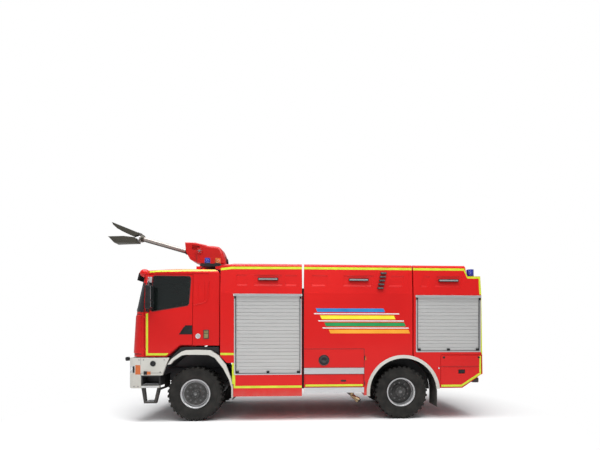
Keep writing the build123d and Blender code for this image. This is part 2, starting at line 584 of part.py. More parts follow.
SHUTTERS = {
    "front": {"x": (FRONT_AXLE_X - 2188.0, FRONT_AXLE_X - 805.0), "z": (955.0, 2618.0)},
    "rear": {"x": (REAR_AXLE_X - 1690.0, REAR_AXLE_X - 293.0), "z": (1413.0, 2608.0)},
}

f = FRONT_AXLE_X
r = REAR_AXLE_X
SKIRT_TOP_Z = BODY_FLOOR_Z
ROOF_TOP_Z = BODY_ROOF[1] + 1
FRONT_SKIRT_X = f - 790.0
front_outline = [(FRONT_MODULE[1], 1340), (FRONT_MODULE[1], 3110), (f - 400, 3160), (f - 405, 3192),
                 (f - 805, ROOF_TOP_Z), (FRONT_MODULE[0], ROOF_TOP_Z), (FRONT_MODULE[0], SKIRT_TOP_Z),
                 (FRONT_SKIRT_X, SKIRT_TOP_Z), (FRONT_SKIRT_X, 1205), (f - 655, 1205)]
front_nose = side_prism([(FRONT_MODULE[1], 3110), (f - 400, 3160), (f - 405, 3192), (FRONT_MODULE[1], 3210)],
                        (-BODY_ROOF[0] + 10, BODY_ROOF[0] - 10))
front_body = module(FRONT_MODULE, front_outline, arch=False) + front_nose
REAR_DECK_Z = 3027.0
rear_outline = [(REAR_MODULE[1], 655), (REAR_MODULE[1], ROOF_TOP_Z), (r - 1370, ROOF_TOP_Z), (r - 1400, REAR_DECK_Z),
                (REAR_MODULE[0] + 34, REAR_DECK_Z), (REAR_MODULE[0], 950), (r - 1290, 655)]
rear_body = module(REAR_MODULE, rear_outline)
middle_outline = [(MIDDLE_MODULE[0], 500), (MIDDLE_MODULE[0], ROOF_TOP_Z), (MIDDLE_MODULE[1], ROOF_TOP_Z),
                  (MIDDLE_MODULE[1], 575), (r + 811, 575), (r + 811, 512), (r + 740, 512), (r + 700, 500)]
middle_body = module(MIDDLE_MODULE, middle_outline)

front_body -= block((FRONT_MODULE[0] + BODY_WALL, FRONT_MODULE[1] - BODY_WALL),
                    (-BODY_HALF + BODY_WALL, BODY_HALF - BODY_WALL), (BODY_FLOOR_Z + BODY_WALL, 2560))
rear_body -= block((REAR_MODULE[0] + BODY_WALL + 20, REAR_MODULE[1] - BODY_WALL),
                   (-BODY_HALF + BODY_WALL, BODY_HALF - BODY_WALL), (1460, 2560))
skirt = block((FRONT_MODULE[0], FRONT_SKIRT_X), (TUNNEL_HALF, BODY_HALF), (512, SKIRT_TOP_Z))
bodies = {"front": front_body, "rear": rear_body}
for place, shutter in SHUTTERS.items():
    hole = block(shutter["x"], (BODY_HALF - BODY_WALL - 1, WIDE), shutter["z"])
    bodies[place] = bodies[place] - hole - right_of(hole)
skirt -= block(SHUTTERS["front"]["x"], (BODY_HALF - BODY_WALL - 1, WIDE), SHUTTERS["front"]["z"])
keep("skirts_front", *both(skirt))

well_x = {"front": (FRONT_MODULE[0] - 1, f - 900), "rear": (r - 1300, REAR_MODULE[1] + 1)}
for place, x in well_x.items():
    bodies[place] -= roof_well(x)
middle_body -= roof_well((MIDDLE_MODULE[0] - 1, MIDDLE_MODULE[1] + 1))

# Pressed panels in the leaning upper side: low and high X along the bottom edge, then along the top edge
PRESSED = {
    "front": [(f - 2093, f - 846, f - 2093, f - 846)],
    "middle": [(f - 2694, f - 2383, f - 2736, f - 2403), (r + 642, r + 1260, r + 579, r + 1230),
               (r - 7, r + 303, r - 58, r + 227)],
    "rear": [(r - 548, r - 387, r - 614, r - 464), (r - 1262, r - 696, r - 1298, r - 754)],
}
PRESSED_Z = (2785.0, 3020.0)
PRESSED_DEPTH = 8.0
pressed_cuts = {}
for place, panels in PRESSED.items():
    pressed_cuts[place] = []
    for low_a, high_a, low_b, high_b in panels:
        outline = [(low_a, PRESSED_Z[0]), (high_a, PRESSED_Z[0]), (high_b, PRESSED_Z[1]), (low_b, PRESSED_Z[1])]
        skin = body_section((low_b - 100, high_a + 100), PRESSED_DEPTH)
        cut = side_prism(outline, (0, WIDE), [22] * 4) - skin
        pressed_cuts[place].extend(both(cut))
for place in ("front", "rear"):
    for cut in pressed_cuts[place]:
        bodies[place] -= cut
for cut in pressed_cuts["middle"]:
    middle_body -= cut

# Door outline pressed into the middle module's side, and its filler hole
GROOVE = 9.0
locker_line = block((r + 811 - GROOVE, MIDDLE_MODULE[1] + 1), (BODY_HALF - 6, WIDE), (1480, 1480 + GROOVE))
locker_line += block((r + 811 - GROOVE, r + 811), (BODY_HALF - 6, WIDE), (800, 1480 + GROOVE))
middle_body = middle_body - locker_line - right_of(locker_line)

# Step flaps: the middle one folds down on its lower edge, the rear one lifts on its upper edge
FLAP_GAP = 8.0
FLAP_EDGE_R = 12.0
MID_FLAP_X = (r + 830.0, f - 2262.0)
MID_FLAP_Z = (692.0, 955.0)
MID_FLAP_AXIS = (BODY_HALF - FLAP_EDGE_R, MID_FLAP_Z[0] + FLAP_EDGE_R)
REAR_FLAP_X = (r - 1702.0, r - 828.0)
REAR_FLAP_TOP_Z = 1350.0
REAR_FLAP = [(REAR_FLAP_X[1], REAR_FLAP_TOP_Z), (REAR_FLAP_X[1], 674), (r - 1284, 674), (REAR_FLAP_X[0], 938),
             (REAR_FLAP_X[0], REAR_FLAP_TOP_Z)]
REAR_FLAP_AXIS = (BODY_HALF - FLAP_EDGE_R, REAR_FLAP_TOP_Z - FLAP_EDGE_R)
REAR_ZONE_X = (REAR_FLAP_X[0] - 100, REAR_FLAP_X[1] + 100)
REAR_ZONE_Z = (600.0, REAR_FLAP_TOP_Z + 50)
POCKET_DEPTH = 400.0


def edge_round(x, axis, level):
    """What rounds a flap's hinged outer edge about its pin."""
    y, z = axis
    corner = block(x, (y, y + FLAP_EDGE_R + 1), sorted((z, z + level * (FLAP_EDGE_R + 1))))
    return corner - tube((x[0] - 1, y, z), (x[1] + 1, y, z), FLAP_EDGE_R)


mid_opening = block((MID_FLAP_X[0] - FLAP_GAP, MID_FLAP_X[1] + FLAP_GAP), (BODY_HALF - PANEL - 10, WIDE),
                    (MID_FLAP_Z[0] - FLAP_GAP, MID_FLAP_Z[1] + FLAP_GAP))
mid_pocket = block((MID_FLAP_X[0] + 20, MID_FLAP_X[1] - 20), (BODY_HALF - POCKET_DEPTH, WIDE),
                   (MID_FLAP_Z[0] + 14, MID_FLAP_Z[1] - 14))
middle_body = middle_body - mid_opening - right_of(mid_opening) - mid_pocket - right_of(mid_pocket)
mid_flap = block(MID_FLAP_X, (BODY_HALF - PANEL, BODY_HALF), MID_FLAP_Z)
mid_flap -= edge_round((MID_FLAP_X[0] - 1, MID_FLAP_X[1] + 1), MID_FLAP_AXIS, -1)
mid_pins = []
for end, inward in ((MID_FLAP_X[0], 1), (MID_FLAP_X[1], -1)):
    outer_x = end - inward * (FLAP_GAP + 1)
    inner_x = end + inward * 25
    pin = tube((outer_x, *MID_FLAP_AXIS), (inner_x, *MID_FLAP_AXIS), PIN_R)
    mid_pins.append(pin)
    mid_flap -= tube((outer_x, *MID_FLAP_AXIS), (inner_x + inward * 2, *MID_FLAP_AXIS), PIN_R + RUNNING)
catch = block((f - 3118, f - 2997), (BODY_HALF - 8, WIDE), (800, 842))
mid_flap -= catch
for pin in mid_pins:
    middle_body = middle_body + pin + right_of(pin)
keep("flap_middle_left", mid_flap)
keep("flap_middle_right", right_of(mid_flap))

rear_face = closed_face([(px, 0, pz) for px, pz in REAR_FLAP])
rear_hole = extrude(offset(rear_face, FLAP_GAP, kind=Kind.INTERSECTION), amount=2000, dir=(0, 1, 0))
rear_hole = rear_hole & block(REAR_ZONE_X, (BODY_HALF - PANEL - 10, WIDE), REAR_ZONE_Z)
rear_pocket = extrude(offset(rear_face, -30, kind=Kind.INTERSECTION), amount=2000, dir=(0, 1, 0))
rear_pocket = rear_pocket & block(REAR_ZONE_X, (BODY_HALF - POCKET_DEPTH, WIDE), REAR_ZONE_Z)
bodies["rear"] = bodies["rear"] - rear_hole - right_of(rear_hole) - rear_pocket - right_of(rear_pocket)
rear_flap = side_prism(REAR_FLAP, (BODY_HALF - PANEL, BODY_HALF))
rear_flap -= edge_round(REAR_ZONE_X, REAR_FLAP_AXIS, 1)
rear_flap -= block(REAR_ZONE_X, (BODY_HALF - 6, WIDE), (1090, 1090 + GROOVE))
rear_flap -= block((r - 1353, r - 1205), (BODY_HALF - 16, WIDE), (955, 1045))
for end, inward in ((REAR_FLAP_X[0], 1), (REAR_FLAP_X[1], -1)):
    outer_x = end - inward * (FLAP_GAP + 1)
    inner_x = end + inward * 25
    pin = tube((outer_x, *REAR_FLAP_AXIS), (inner_x, *REAR_FLAP_AXIS), PIN_R)
    bodies["rear"] = bodies["rear"] + pin + right_of(pin)
    rear_flap -= tube((outer_x, *REAR_FLAP_AXIS), (inner_x + inward * 2, *REAR_FLAP_AXIS), PIN_R + RUNNING)
keep("flap_rear_left", rear_flap)
keep("flap_rear_right", right_of(rear_flap))
keep("body_front", bodies["front"])
keep("body_middle", middle_body)

# Shutters with slats, in frames of header rail, guides and bottom bar
SLAT = 74.0
SLAT_GROOVE = 7.0
SLAT_DEPTH = 22.0
CURTAIN_Y = BODY_HALF - 14.0
GUIDE = 30.0


def slat_outline(face, inward, z):
    """(depth, z) outline of a slatted curtain, grooved between the slats."""
    groove = face + inward * SLAT_GROOVE
    back = face + inward * SLAT_DEPTH
    points = [(back, z[0]), (face, z[0])]
    level = z[0] + SLAT
    while level < z[1] - SLAT / 2:
        points += [(face, level - 7), (groove, level - 4), (groove, level), (face, level + 3)]
        level += SLAT
    return points + [(face, z[1]), (back, z[1])]


curtains = []
aluminium = []
black_fittings = []
for shutter in SHUTTERS.values():
    x, z = shutter["x"], shutter["z"]
    leaf = front_prism(slat_outline(CURTAIN_Y, -1, (z[0] + 30, z[1] - 44)), (x[0] + GUIDE, x[1] - GUIDE))
    curtains.extend(both(leaf))
    surround = block(x, (BODY_HALF - BODY_WALL, BODY_HALF + 2), z)
    surround -= block((x[0] + GUIDE, x[1] - GUIDE), (0, WIDE), (z[0] + 30, z[1] - 44))
    surround += block(x, (BODY_HALF, BODY_HALF + 22), (z[1] - 44, z[1]))
    aluminium.extend(both(surround))
    for share in (0.05, 0.5, 0.95):
        spot = x[0] + share * (x[1] - x[0])
        black_fittings.extend(both(block((spot - 28, spot + 28), (CURTAIN_Y, BODY_HALF + 16),
                                         (z[0] + 34, z[0] + 76))))
band_x = (r + 811.0, MIDDLE_MODULE[1] - 2)
aluminium.extend(both(block(band_x, (BODY_HALF, BODY_HALF + 10), (966, 1090))))
aluminium.extend(both(block(band_x, (BODY_HALF, BODY_HALF + 6), (575, 683))))

# Shutter across the rear wall
REAR_SHUTTER_Y = (-600.0, 600.0)
REAR_SHUTTER_Z = (1200.0, 2500.0)
REAR_SHUTTER_X = (REAR_MODULE[0] + 20, REAR_MODULE[0] + 85)
REAR_LEAF_Y = (REAR_SHUTTER_Y[0] + GUIDE, REAR_SHUTTER_Y[1] - GUIDE)
REAR_LEAF_Z = (REAR_SHUTTER_Z[0] + 30, REAR_SHUTTER_Z[1] - 44)
bodies["rear"] -= block((REAR_MODULE[0] - 1, REAR_SHUTTER_X[1]), REAR_SHUTTER_Y, REAR_SHUTTER_Z)
rear_surround = block(REAR_SHUTTER_X, REAR_SHUTTER_Y, REAR_SHUTTER_Z)
aluminium.append(rear_surround - block((REAR_SHUTTER_X[0] - 1, REAR_SHUTTER_X[1] + 1), REAR_LEAF_Y, REAR_LEAF_Z))
curtains.append(side_prism(slat_outline(REAR_SHUTTER_X[0] + 25, 1, REAR_LEAF_Z), REAR_LEAF_Y))
keep("shutters", *curtains)
keep("aluminium_trim", *aluminium)
keep("body_rear", bodies["rear"])

# Strip lights on the upper side and grip plates up to the roof
STRIPS = ((f - 1700, f - 1295), (r + 718, r + 1126), (r - 1205, r - 786))
lean = (BODY_HALF - BODY_SHOULDER[0]) / (BODY_SHOULDER[1] - BODY_SIDE_TOP_Z)


def outside_body(shape, x, depth=0):
    """What of a fitting stands outside the body's cross section, or outside a panel pressed to a depth."""
    return shape - body_section(x, depth)


for x in STRIPS:
    skin = BODY_HALF - lean * (2930 - BODY_SIDE_TOP_Z)
    strip = block(x, (skin - 20, skin + 30), (2908, 2950))
    black_fittings.extend(both(outside_body(strip, (x[0] - 10, x[1] + 10), PRESSED_DEPTH)))
for i in range(5):
    z = 2755 + i * 79
    x = r + 395 + (4 - i) * 17
    skin = BODY_HALF - lean * (z - BODY_SIDE_TOP_Z)
    plate = block((x - 62, x + 62), (skin - 20, skin + 40), (z - 18, z + 18))
    black_fittings.extend(both(outside_body(plate, (x - 80, x + 80))))
black_fittings.extend(both(across(f - 2652, 1250, 98, (BODY_HALF, BODY_HALF + 12))))
keep("side_fittings", *black_fittings)

# Arch trims and liners
FRONT_ARCH = from_axle([(676, 650), (676, 930), (600, 1080), (417, 1249), (254, 1358), (164, 1374), (-291, 1367),
                        (-419, 1311), (-585, 1096), (-700, 870), (-745, 700), (-745, 480)])
TRIM_OUTER = from_axle([(527, 1176), (453, 1286), (254, 1433), (164, 1466), (-54, 1473), (-329, 1464), (-492, 1356),
                        (-639, 1171), (-750, 871), (-785, 700), (-785, 490)])
TRIM_INNER = from_axle([(-752, 490), (-752, 700), (-707, 860), (-585, 1096), (-419, 1311), (-291, 1367), (-54, 1373),
                        (164, 1374), (254, 1358), (417, 1249), (470, 1180)])
ARCH_FACE_Y = BODY_HALF - 60.0
front_trim = side_prism(TRIM_OUTER + TRIM_INNER, (ARCH_FACE_Y, BODY_HALF + 12))
rear_trim = across(REAR_ARCH_X, REAR_ARCH_Z, REAR_ARCH_R + ARCH_TRIM, (BODY_HALF - 15 + SEAT_GAP, BODY_HALF + 12))
rear_trim -= across(REAR_ARCH_X, REAR_ARCH_Z, REAR_ARCH_R, (0, WIDE))
rear_trim -= block((REAR_ARCH_X - 900, REAR_ARCH_X), (0, WIDE), (-300, 640))
rear_trim -= block((REAR_ARCH_X, REAR_ARCH_X + 900), (0, WIDE), (-300, 500))
front_trim -= bumper_outer
keep("arch_trims", *both(front_trim), *both(rear_trim))

arch_face = closed_face([(px, 0, pz) for px, pz in FRONT_ARCH])
LINER_INNER_Y = 640.0
liner_face = offset(arch_face, LINER, kind=Kind.INTERSECTION)
liner = extrude(liner_face, amount=ARCH_FACE_Y - SEAT_GAP - LINER_INNER_Y, dir=(0, 1, 0))
liner = Pos(0, LINER_INNER_Y, 0) * liner
liner -= side_prism(FRONT_ARCH, (0, WIDE))
liner -= block((f - 900, f + 900), (0, WIDE), (0, 656))
liner -= block((f + 600, f + 900), (BUMPER_HALF - 275, WIDE), (700, 1320))
FILLER = from_axle([(262, 1524), (175, 1532), (-492, 1532), (-492, 1420), (-329, 1464.3), (-54, 1473.3), (164, 1466.3),
                    (254, 1433.4), (440, 1300), (470, 1316)])
filler = side_prism(FILLER, (CAB_HALF - 105, CAB_HALF + 10))
front_flap = block((f - 775, f - 757), (820, ARCH_FACE_Y - SEAT_GAP), (440, 770))
liner = liner - bumper_outer
rear_liner = across(REAR_ARCH_X, REAR_ARCH_Z, REAR_ARCH_R + LINER, (TUNNEL_HALF + 10, BODY_HALF - 15))
rear_liner -= across(REAR_ARCH_X, REAR_ARCH_Z, REAR_ARCH_R, (0, WIDE))
rear_liner -= block((REAR_ARCH_X - 900, REAR_ARCH_X), (0, WIDE), (-300, 600))
rear_liner -= block((REAR_ARCH_X, REAR_ARCH_X + 900), (0, WIDE), (-300, 515))
flap_x = REAR_ARCH_X - REAR_ARCH_R
mud_flap = block((flap_x - 14, flap_x), (TUNNEL_HALF + 10, BODY_HALF - 15), (260, 601))
keep("arch_liners", *both(liner + front_flap), *both(filler - bumper_outer), *both(rear_liner + mud_flap))

# Lamps and beacons
WING_Z = 3275.0
WING_X = (f - 480, f - 90)
LAMP_HIGH = 134.0
LAMP_R = 58.0
beacons = []
BEACON_Y = BODY_ROOF[0] - 250.0
for x, y, z, height, radius in ((f - 185, BEACON_Y, WING_Z, LAMP_HIGH, LAMP_R),
                                (r - 1545, BODY_ROOF[0] - 100, REAR_DECK_Z, 165, 76)):
    beacons.extend(both(tube((x, y, z), (x, y, z + height), radius)))
keep("blue_beacons", *beacons)
amber.append(tube((f - 403, BEACON_Y, WING_Z), (f - 403, BEACON_Y, WING_Z + LAMP_HIGH), LAMP_R))
keep("amber_lamps", *[side for piece in amber for side in both(piece)])

# Monitor bracket: a beam from the body roof forward over the cab, with a wide foot plate
BRACKET_HALF = 300.0
bracket = block((f - 880, f - 500), (-330, 330), (3180, 3300))
bracket += block((f - 880, f + 210), (-BRACKET_HALF, BRACKET_HALF), (3235, 3340))
bracket = bracket - body_section((f - 900, f - 400))
bracket += tube((MONITOR_X, 0, 3340), (MONITOR_X, 0, 3400), 285.0)
bracket += tube((MONITOR_X, 0, 3400), (MONITOR_X, 0, 3420), 60.0)
keep("monitor_bracket", bracket)
WING_THICK = 62.0
wing_outline = [(WING_X[0] - 12, WING_Z - WING_THICK), (WING_X[0], WING_Z), (WING_X[1], WING_Z),
                (WING_X[1] + 30, WING_Z - WING_THICK / 2), (WING_X[1], WING_Z - WING_THICK)]
wing = side_prism(wing_outline, (BRACKET_HALF, BODY_ROOF[0] - 120))
keep("beacon_wings", *both(wing))

# Turret: two cheeks and a domed back, open towards the front
TURRET_HALF = 260.0
HEAD_HALF = 215.0
turret_outline = from_axle([(210, 3425), (205, 3640), (150, 3770), (-20, 3822), (-150, 3826), (-305, 3806),
                            (-372, 3667), (-414, 3523), (-428, 3425)])
turret = side_prism(turret_outline, (-TURRET_HALF, TURRET_HALF), [0, 70, 60, 60, 0, 100, 0, 0, 0])
back = [edge for edge in turret.edges().filter_by(GeomType.LINE) if edge.center().X < FRONT_AXLE_X - 330
        and edge.length > 60 and abs(edge.center().Y) > TURRET_HALF - 1 and edge.center().Z > 3450]
turret = fillet(back, 60)
slot = side_prism(from_axle([(400, 3428), (400, 4000), (-60, 4000), (-110, 3600), (-110, 3428)]),
                  (-HEAD_HALF - 11, HEAD_HALF + 11))
turret -= slot
turret += tube((MONITOR_X, 0, 3400.5), (MONITOR_X, 0, 3428), 270.0)
turret -= tube((MONITOR_X, 0, 3390), (MONITOR_X, 0, 3421), 60.0 + RUNNING)
PIVOT_X, PIVOT_Z = MONITOR_PIVOT
for side in (1, -1):
    turret += across(PIVOT_X, PIVOT_Z, 70.0, (side * (HEAD_HALF + 12), side * (TURRET_HALF + 12)))
    turret += across(PIVOT_X, PIVOT_Z, 30.0, (side * (HEAD_HALF - 20), side * TURRET_HALF))
keep("monitor_turret", turret)

head_outline = from_axle([(491, 3912), (264, 3908), (-19, 3847), (-40, 3640), (60, 3485), (130, 3455),
                          (264, 3458), (375, 3513), (426, 3605), (470, 3700)])
monitor_head = side_prism(head_outline, (-HEAD_HALF, HEAD_HALF), [0, 0, 50, 60, 0, 40, 60, 60, 60, 0])
straight = monitor_head.edges().filter_by(GeomType.LINE)
rim_edges = [edge for edge in straight if abs(edge.center().Y) > HEAD_HALF - 1 and edge.center().Z > 3860]
monitor_head = chamfer(rim_edges, 22)
GRILLE = from_axle([(335, 3841), (158, 3824), (158, 3735), (335, 3743)])
for side in (1, -1):
    monitor_head -= across(PIVOT_X, PIVOT_Z, 30.0 + RUNNING, (side * (HEAD_HALF - 25), side * (HEAD_HALF + 5)))
    monitor_head -= side_prism(GRILLE, sorted((side * (HEAD_HALF - 26), side * (HEAD_HALF + 5))), [12] * 4)
    for i in range(4):
        z = 3752 + i * 23
        bar = side_prism(from_axle([(150, z), (345, z + 14), (345, z + 22), (150, z + 8)]),
                         sorted((side * (HEAD_HALF - 30), side * (HEAD_HALF - 8))))
        monitor_head += bar
keep("monitor_head", monitor_head)

turn = radians(BARREL_TILT)
along = Vector(cos(turn), 0, sin(turn))
up = Vector(-sin(turn), 0, cos(turn))
BARREL_LENGTH = 1210.0
BREECH = (FRONT_AXLE_X + 419.6, 3715.6)
breech = Vector(BREECH[0], 0, BREECH[1])
muzzle = breech + along * BARREL_LENGTH
BARREL_R = 46.0
BORE_R = 34.0
from_breech = (Align.CENTER, Align.CENTER, Align.MIN)
barrel = Plane(origin=breech, z_dir=along) * Cylinder(BARREL_R, BARREL_LENGTH, align=from_breech)
barrel = barrel - monitor_head
barrel_tube = max(barrel.solids(), key=lambda solid: solid.volume)

# Collar and two hinge lugs at the muzzle
PIN_SPREAD = 84.0
PIN_HOLD_R = 10.0
LUG_HALF_Y = 30.0
yoke_plane = Plane(origin=muzzle, x_dir=along, z_dir=up)
yoke = yoke_plane * Pos(-70, 0, 0) * Rot(0, 90, 0) * Cylinder(66, 60)
for level in (1, -1):
    lug_z = sorted((level * (BARREL_R - 6), level * (PIN_SPREAD + 4)))
    yoke += yoke_plane * block((-70, 16), (-LUG_HALF_Y, LUG_HALF_Y), lug_z)
    eye = yoke_plane * Pos(0, 0, level * PIN_SPREAD) * Rot(90, 0, 0)
    yoke += eye * Cylinder(28, 2 * LUG_HALF_Y)
    yoke -= eye * Cylinder(PIN_HOLD_R + RUNNING, 2 * LUG_HALF_Y + 20)
bored = barrel_tube + yoke - yoke_plane * Pos(-180, 0, 0) * Rot(0, 90, 0) * Cylinder(BORE_R, 440)
keep("monitor_barrel", bored)

BLADE_WALL = 8.0
UPPER_BLADE = [(30, 12), (117, 10), (427, -2), (671, -13), (619, -57), (500, -99), (350, -106), (115, -108),
               (62, -60), (30, -20)]
LOWER_BLADE = [(30, -50), (511, -84), (646, 49), (322, 88), (75, 81), (30, 20)]


def blade(pin, angle, outline, width, ear_z, wall):
    """Deflector blade on its pin: a tapered channel, open towards the jet, with two ears."""
    reach = max(px for px, pz in outline)
    skin = abs(wall)
    taper = plan_prism([(30, -width[0]), (30, width[0]), (reach, width[1]), (reach, -width[1])], (-200, 200))
    inner = plan_prism([(29, -width[0] + skin), (29, width[0] - skin), (reach + 30, width[1] - skin),
                        (reach + 30, -width[1] + skin)], (-200, 200))
    hollow = side_prism([(px, pz + wall) for px, pz in outline], (-200, 200)) & inner
    scoop = side_prism(outline, (-200, 200)) & taper
    scoop = scoop - hollow
    for side in (1, -1):
        y = sorted((side * (LUG_HALF_Y + 1), side * (LUG_HALF_Y + 16)))
        scoop += block((-20, 60), y, ear_z)
        scoop += block((-20, 60), y, (-20, 20))
    scoop += tube((0, -LUG_HALF_Y - 16, 0), (0, LUG_HALF_Y + 16, 0), PIN_HOLD_R)
    turn = radians(angle)
    place = Plane(origin=pin, x_dir=(cos(turn), 0, sin(turn)), z_dir=(-sin(turn), 0, cos(turn)))
    return place * scoop


keep("blade_upper", blade(muzzle + up * PIN_SPREAD, 23.7, UPPER_BLADE, (46, 96), (-20, 12), -BLADE_WALL))
keep("blade_lower", blade(muzzle - up * PIN_SPREAD, 2.7, LOWER_BLADE, (60, 126), (-50, 20), BLADE_WALL))

# Bumper monitor: post on the bumper, swivel and nozzle
POST = (FRONT_AXLE_X + 1406.0, 0.0)
bumper_post = block((BUMPER_NOSE_X, POST[0] + 60), (-90, 90), (1140, 1170))
bumper_post += tube((POST[0], 0, 1150), (POST[0], 0, 1175), 60.0)
bumper_post += tube((POST[0], 0, 1175), (POST[0], 0, 1188), 20.0)
swivel = tube((POST[0], 0, 1175.5), (POST[0], 0, 1290), 56.0)
swivel -= tube((POST[0], 0, 1170), (POST[0], 0, 1189), 20.0 + RUNNING)
swivel -= block((POST[0] - 60, POST[0] + 60), (-30, 30), (1200, 1300))
swivel += across(POST[0], 1258, 12.0, (-50, 50))
nozzle = across(POST[0], 1258, 26.0, (-29.5, 29.5))
nozzle += tube((POST[0] + 10, 0, 1257), (FRONT_AXLE_X + 1894, 0, 1214), 21.0)
nozzle += tube((FRONT_AXLE_X + 1830, 0, 1220), (FRONT_AXLE_X + 1900, 0, 1213.5), 46.0)
nozzle -= across(POST[0], 1258, 12.0 + RUNNING, (-60, 60))
keep("bumper_monitor_post", bumper_post)
keep("bumper_monitor_swivel", swivel)
keep("bumper_monitor_nozzle", nozzle)

# Rear lamps on the underrun bar's ends
lamp = block((UNDERRUN_X[0] - 12, UNDERRUN_X[0]), (UNDERRUN_HALF - 230, UNDERRUN_HALF - 10),
             (UNDERRUN_Z[0] + 12, UNDERRUN_Z[1] - 12))
keep("rear_lamps", *both(lamp))

# Brass hose coupling under the body
COUPLING_X = f - 3250.0
COUPLING_Y = BODY_HALF - 130.0
coupling = tube((COUPLING_X, COUPLING_Y, 575), (COUPLING_X, COUPLING_Y, 480), 38.0)
coupling += tube((COUPLING_X, COUPLING_Y, 500), (COUPLING_X - 80, COUPLING_Y + 60, 440), 42.0)
coupling += tube((COUPLING_X - 80, COUPLING_Y + 60, 440), (COUPLING_X - 140, COUPLING_Y + 105, 395), 52.0)
keep("hose_coupling", coupling)
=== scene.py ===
# %% [markdown]
# # Airport fire truck
#
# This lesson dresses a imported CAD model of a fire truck: red cab and body, roller shutters, big lugged tyres
# and a water monitor on the roof. The CAD gives every main shape. Here each shape gets its finish, and the
# small things that a maker adds last: nuts, wipers, reflective tape, seams, lenses.

# %% Load the frame
import bpy
import bmesh
import json
import math
from mathutils import Matrix, Vector
from mathutils.bvhtree import BVHTree


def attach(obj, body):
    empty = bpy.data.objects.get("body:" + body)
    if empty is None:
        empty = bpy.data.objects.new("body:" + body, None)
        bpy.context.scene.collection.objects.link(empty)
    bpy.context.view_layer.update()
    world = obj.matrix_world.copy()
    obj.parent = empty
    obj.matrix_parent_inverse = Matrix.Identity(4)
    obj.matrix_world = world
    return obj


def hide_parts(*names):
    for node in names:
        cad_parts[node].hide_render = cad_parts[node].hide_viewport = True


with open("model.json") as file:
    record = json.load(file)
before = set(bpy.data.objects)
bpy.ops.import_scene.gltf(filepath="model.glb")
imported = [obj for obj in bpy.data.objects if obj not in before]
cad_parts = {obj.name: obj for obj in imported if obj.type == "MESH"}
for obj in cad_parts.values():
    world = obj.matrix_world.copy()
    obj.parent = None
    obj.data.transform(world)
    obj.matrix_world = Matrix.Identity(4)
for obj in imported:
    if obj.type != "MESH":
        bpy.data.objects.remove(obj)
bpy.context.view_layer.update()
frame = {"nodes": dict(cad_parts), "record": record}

# %% [markdown]
# ## Where the camera stands
#
# The photograph was taken from the left side, a little above the door handle's height, with the camera turned
# slightly towards the rear. The upright lines stay upright, so the camera was level and the picture was cut
# from a taller one. Blender can do the same with a level camera and a vertical shift.

# %% Camera
scene = bpy.context.scene
scene.view_settings.view_transform = "Standard"
PHOTO_WIDTH, PHOTO_HEIGHT = 600, 450
FOCAL_PIXELS = 385.741
VANISHING_X, HORIZON = 325.078, 334.5
SENSOR = 36.0
YAW = math.radians(3.287)
lens = bpy.data.cameras.new("photo_camera")
lens.sensor_width = SENSOR
lens.lens = SENSOR * FOCAL_PIXELS / PHOTO_WIDTH
lens.shift_x = (PHOTO_WIDTH / 2 - VANISHING_X) / PHOTO_WIDTH
lens.shift_y = (HORIZON - PHOTO_HEIGHT / 2) / PHOTO_WIDTH
lens.clip_end = 200.0
camera = bpy.data.objects.new("photo_camera", lens)
scene.collection.objects.link(camera)
camera.location = (-0.2894, 9.250, 1.785)
camera.rotation_euler = (math.pi / 2, 0.0, math.pi - YAW)
scene.camera = camera
print("lens in mm:", round(lens.lens, 2))

# %% [markdown]
# ## Floor, sky and lamps
#
# A studio picture of a truck needs an even light from everywhere and a large lamp overhead, which keeps a soft
# shadow under the truck. The world is the even light, and the camera sees it as plain white. A second, weaker
# lamp stands beside the camera. Two short functions make the shader nodes here and in every finish below.

# %% World and lamps
def new_node(tree, kind, operation=None, **values):
    """A node in a tree, with some of its sockets filled in."""
    made = tree.nodes.new(kind)
    if operation:
        made.operation = operation
    for socket, value in values.items():
        made.inputs[socket.replace("_", " ")].default_value = value
    return made


def join(tree, *pairs):
    """Joins each output to its input."""
    for out, into in pairs:
        tree.links.new(out, into)


def soft_box(name, place, look_at, size, power):
    """One large rectangular lamp that points at a spot."""
    lamp = bpy.data.lights.new(name, "AREA")
    lamp.shape = "RECTANGLE"
    lamp.size, lamp.size_y = size
    lamp.energy = power
    holder = bpy.data.objects.new(name, lamp)
    scene.collection.objects.link(holder)
    holder.location = place
    holder.rotation_euler = (Vector(look_at) - Vector(place)).to_track_quat("-Z", "Y").to_euler()


EVEN_LIGHT = 0.36
scene.world = bpy.data.worlds.new("studio_sky")
scene.world.use_nodes = True
sky = scene.world.node_tree
sky.nodes.clear()
sky_out = new_node(sky, "ShaderNodeOutputWorld")
even_light = new_node(sky, "ShaderNodeBackground", Color=(0.95, 0.97, 1.0, 1), Strength=EVEN_LIGHT)
white_back = new_node(sky, "ShaderNodeBackground", Color=(1, 1, 1, 1), Strength=1.0)
rays = new_node(sky, "ShaderNodeLightPath")
pick = new_node(sky, "ShaderNodeMixShader")
join(sky, (rays.outputs["Is Camera Ray"], pick.inputs["Fac"]), (even_light.outputs[0], pick.inputs[1]),
     (white_back.outputs[0], pick.inputs[2]), (pick.outputs[0], sky_out.inputs["Surface"]))
soft_box("overhead_lamp", (0.5, 2.5, 10.0), (0, 0.8, 0), (13, 7), 1620)
soft_box("side_lamp", (2.0, 9.5, 9.5), (0, 0, 1.5), (9, 3), 130)

# %% [markdown]
# The floor is one pale sheet. It is much larger than the picture, so no edge shows, and it takes the shadow.
# Far from the truck the lamps reach it less, and a grey line would show at the horizon. There the camera sees
# it as plain white: the finish fades from lit floor to white with the distance from the truck.

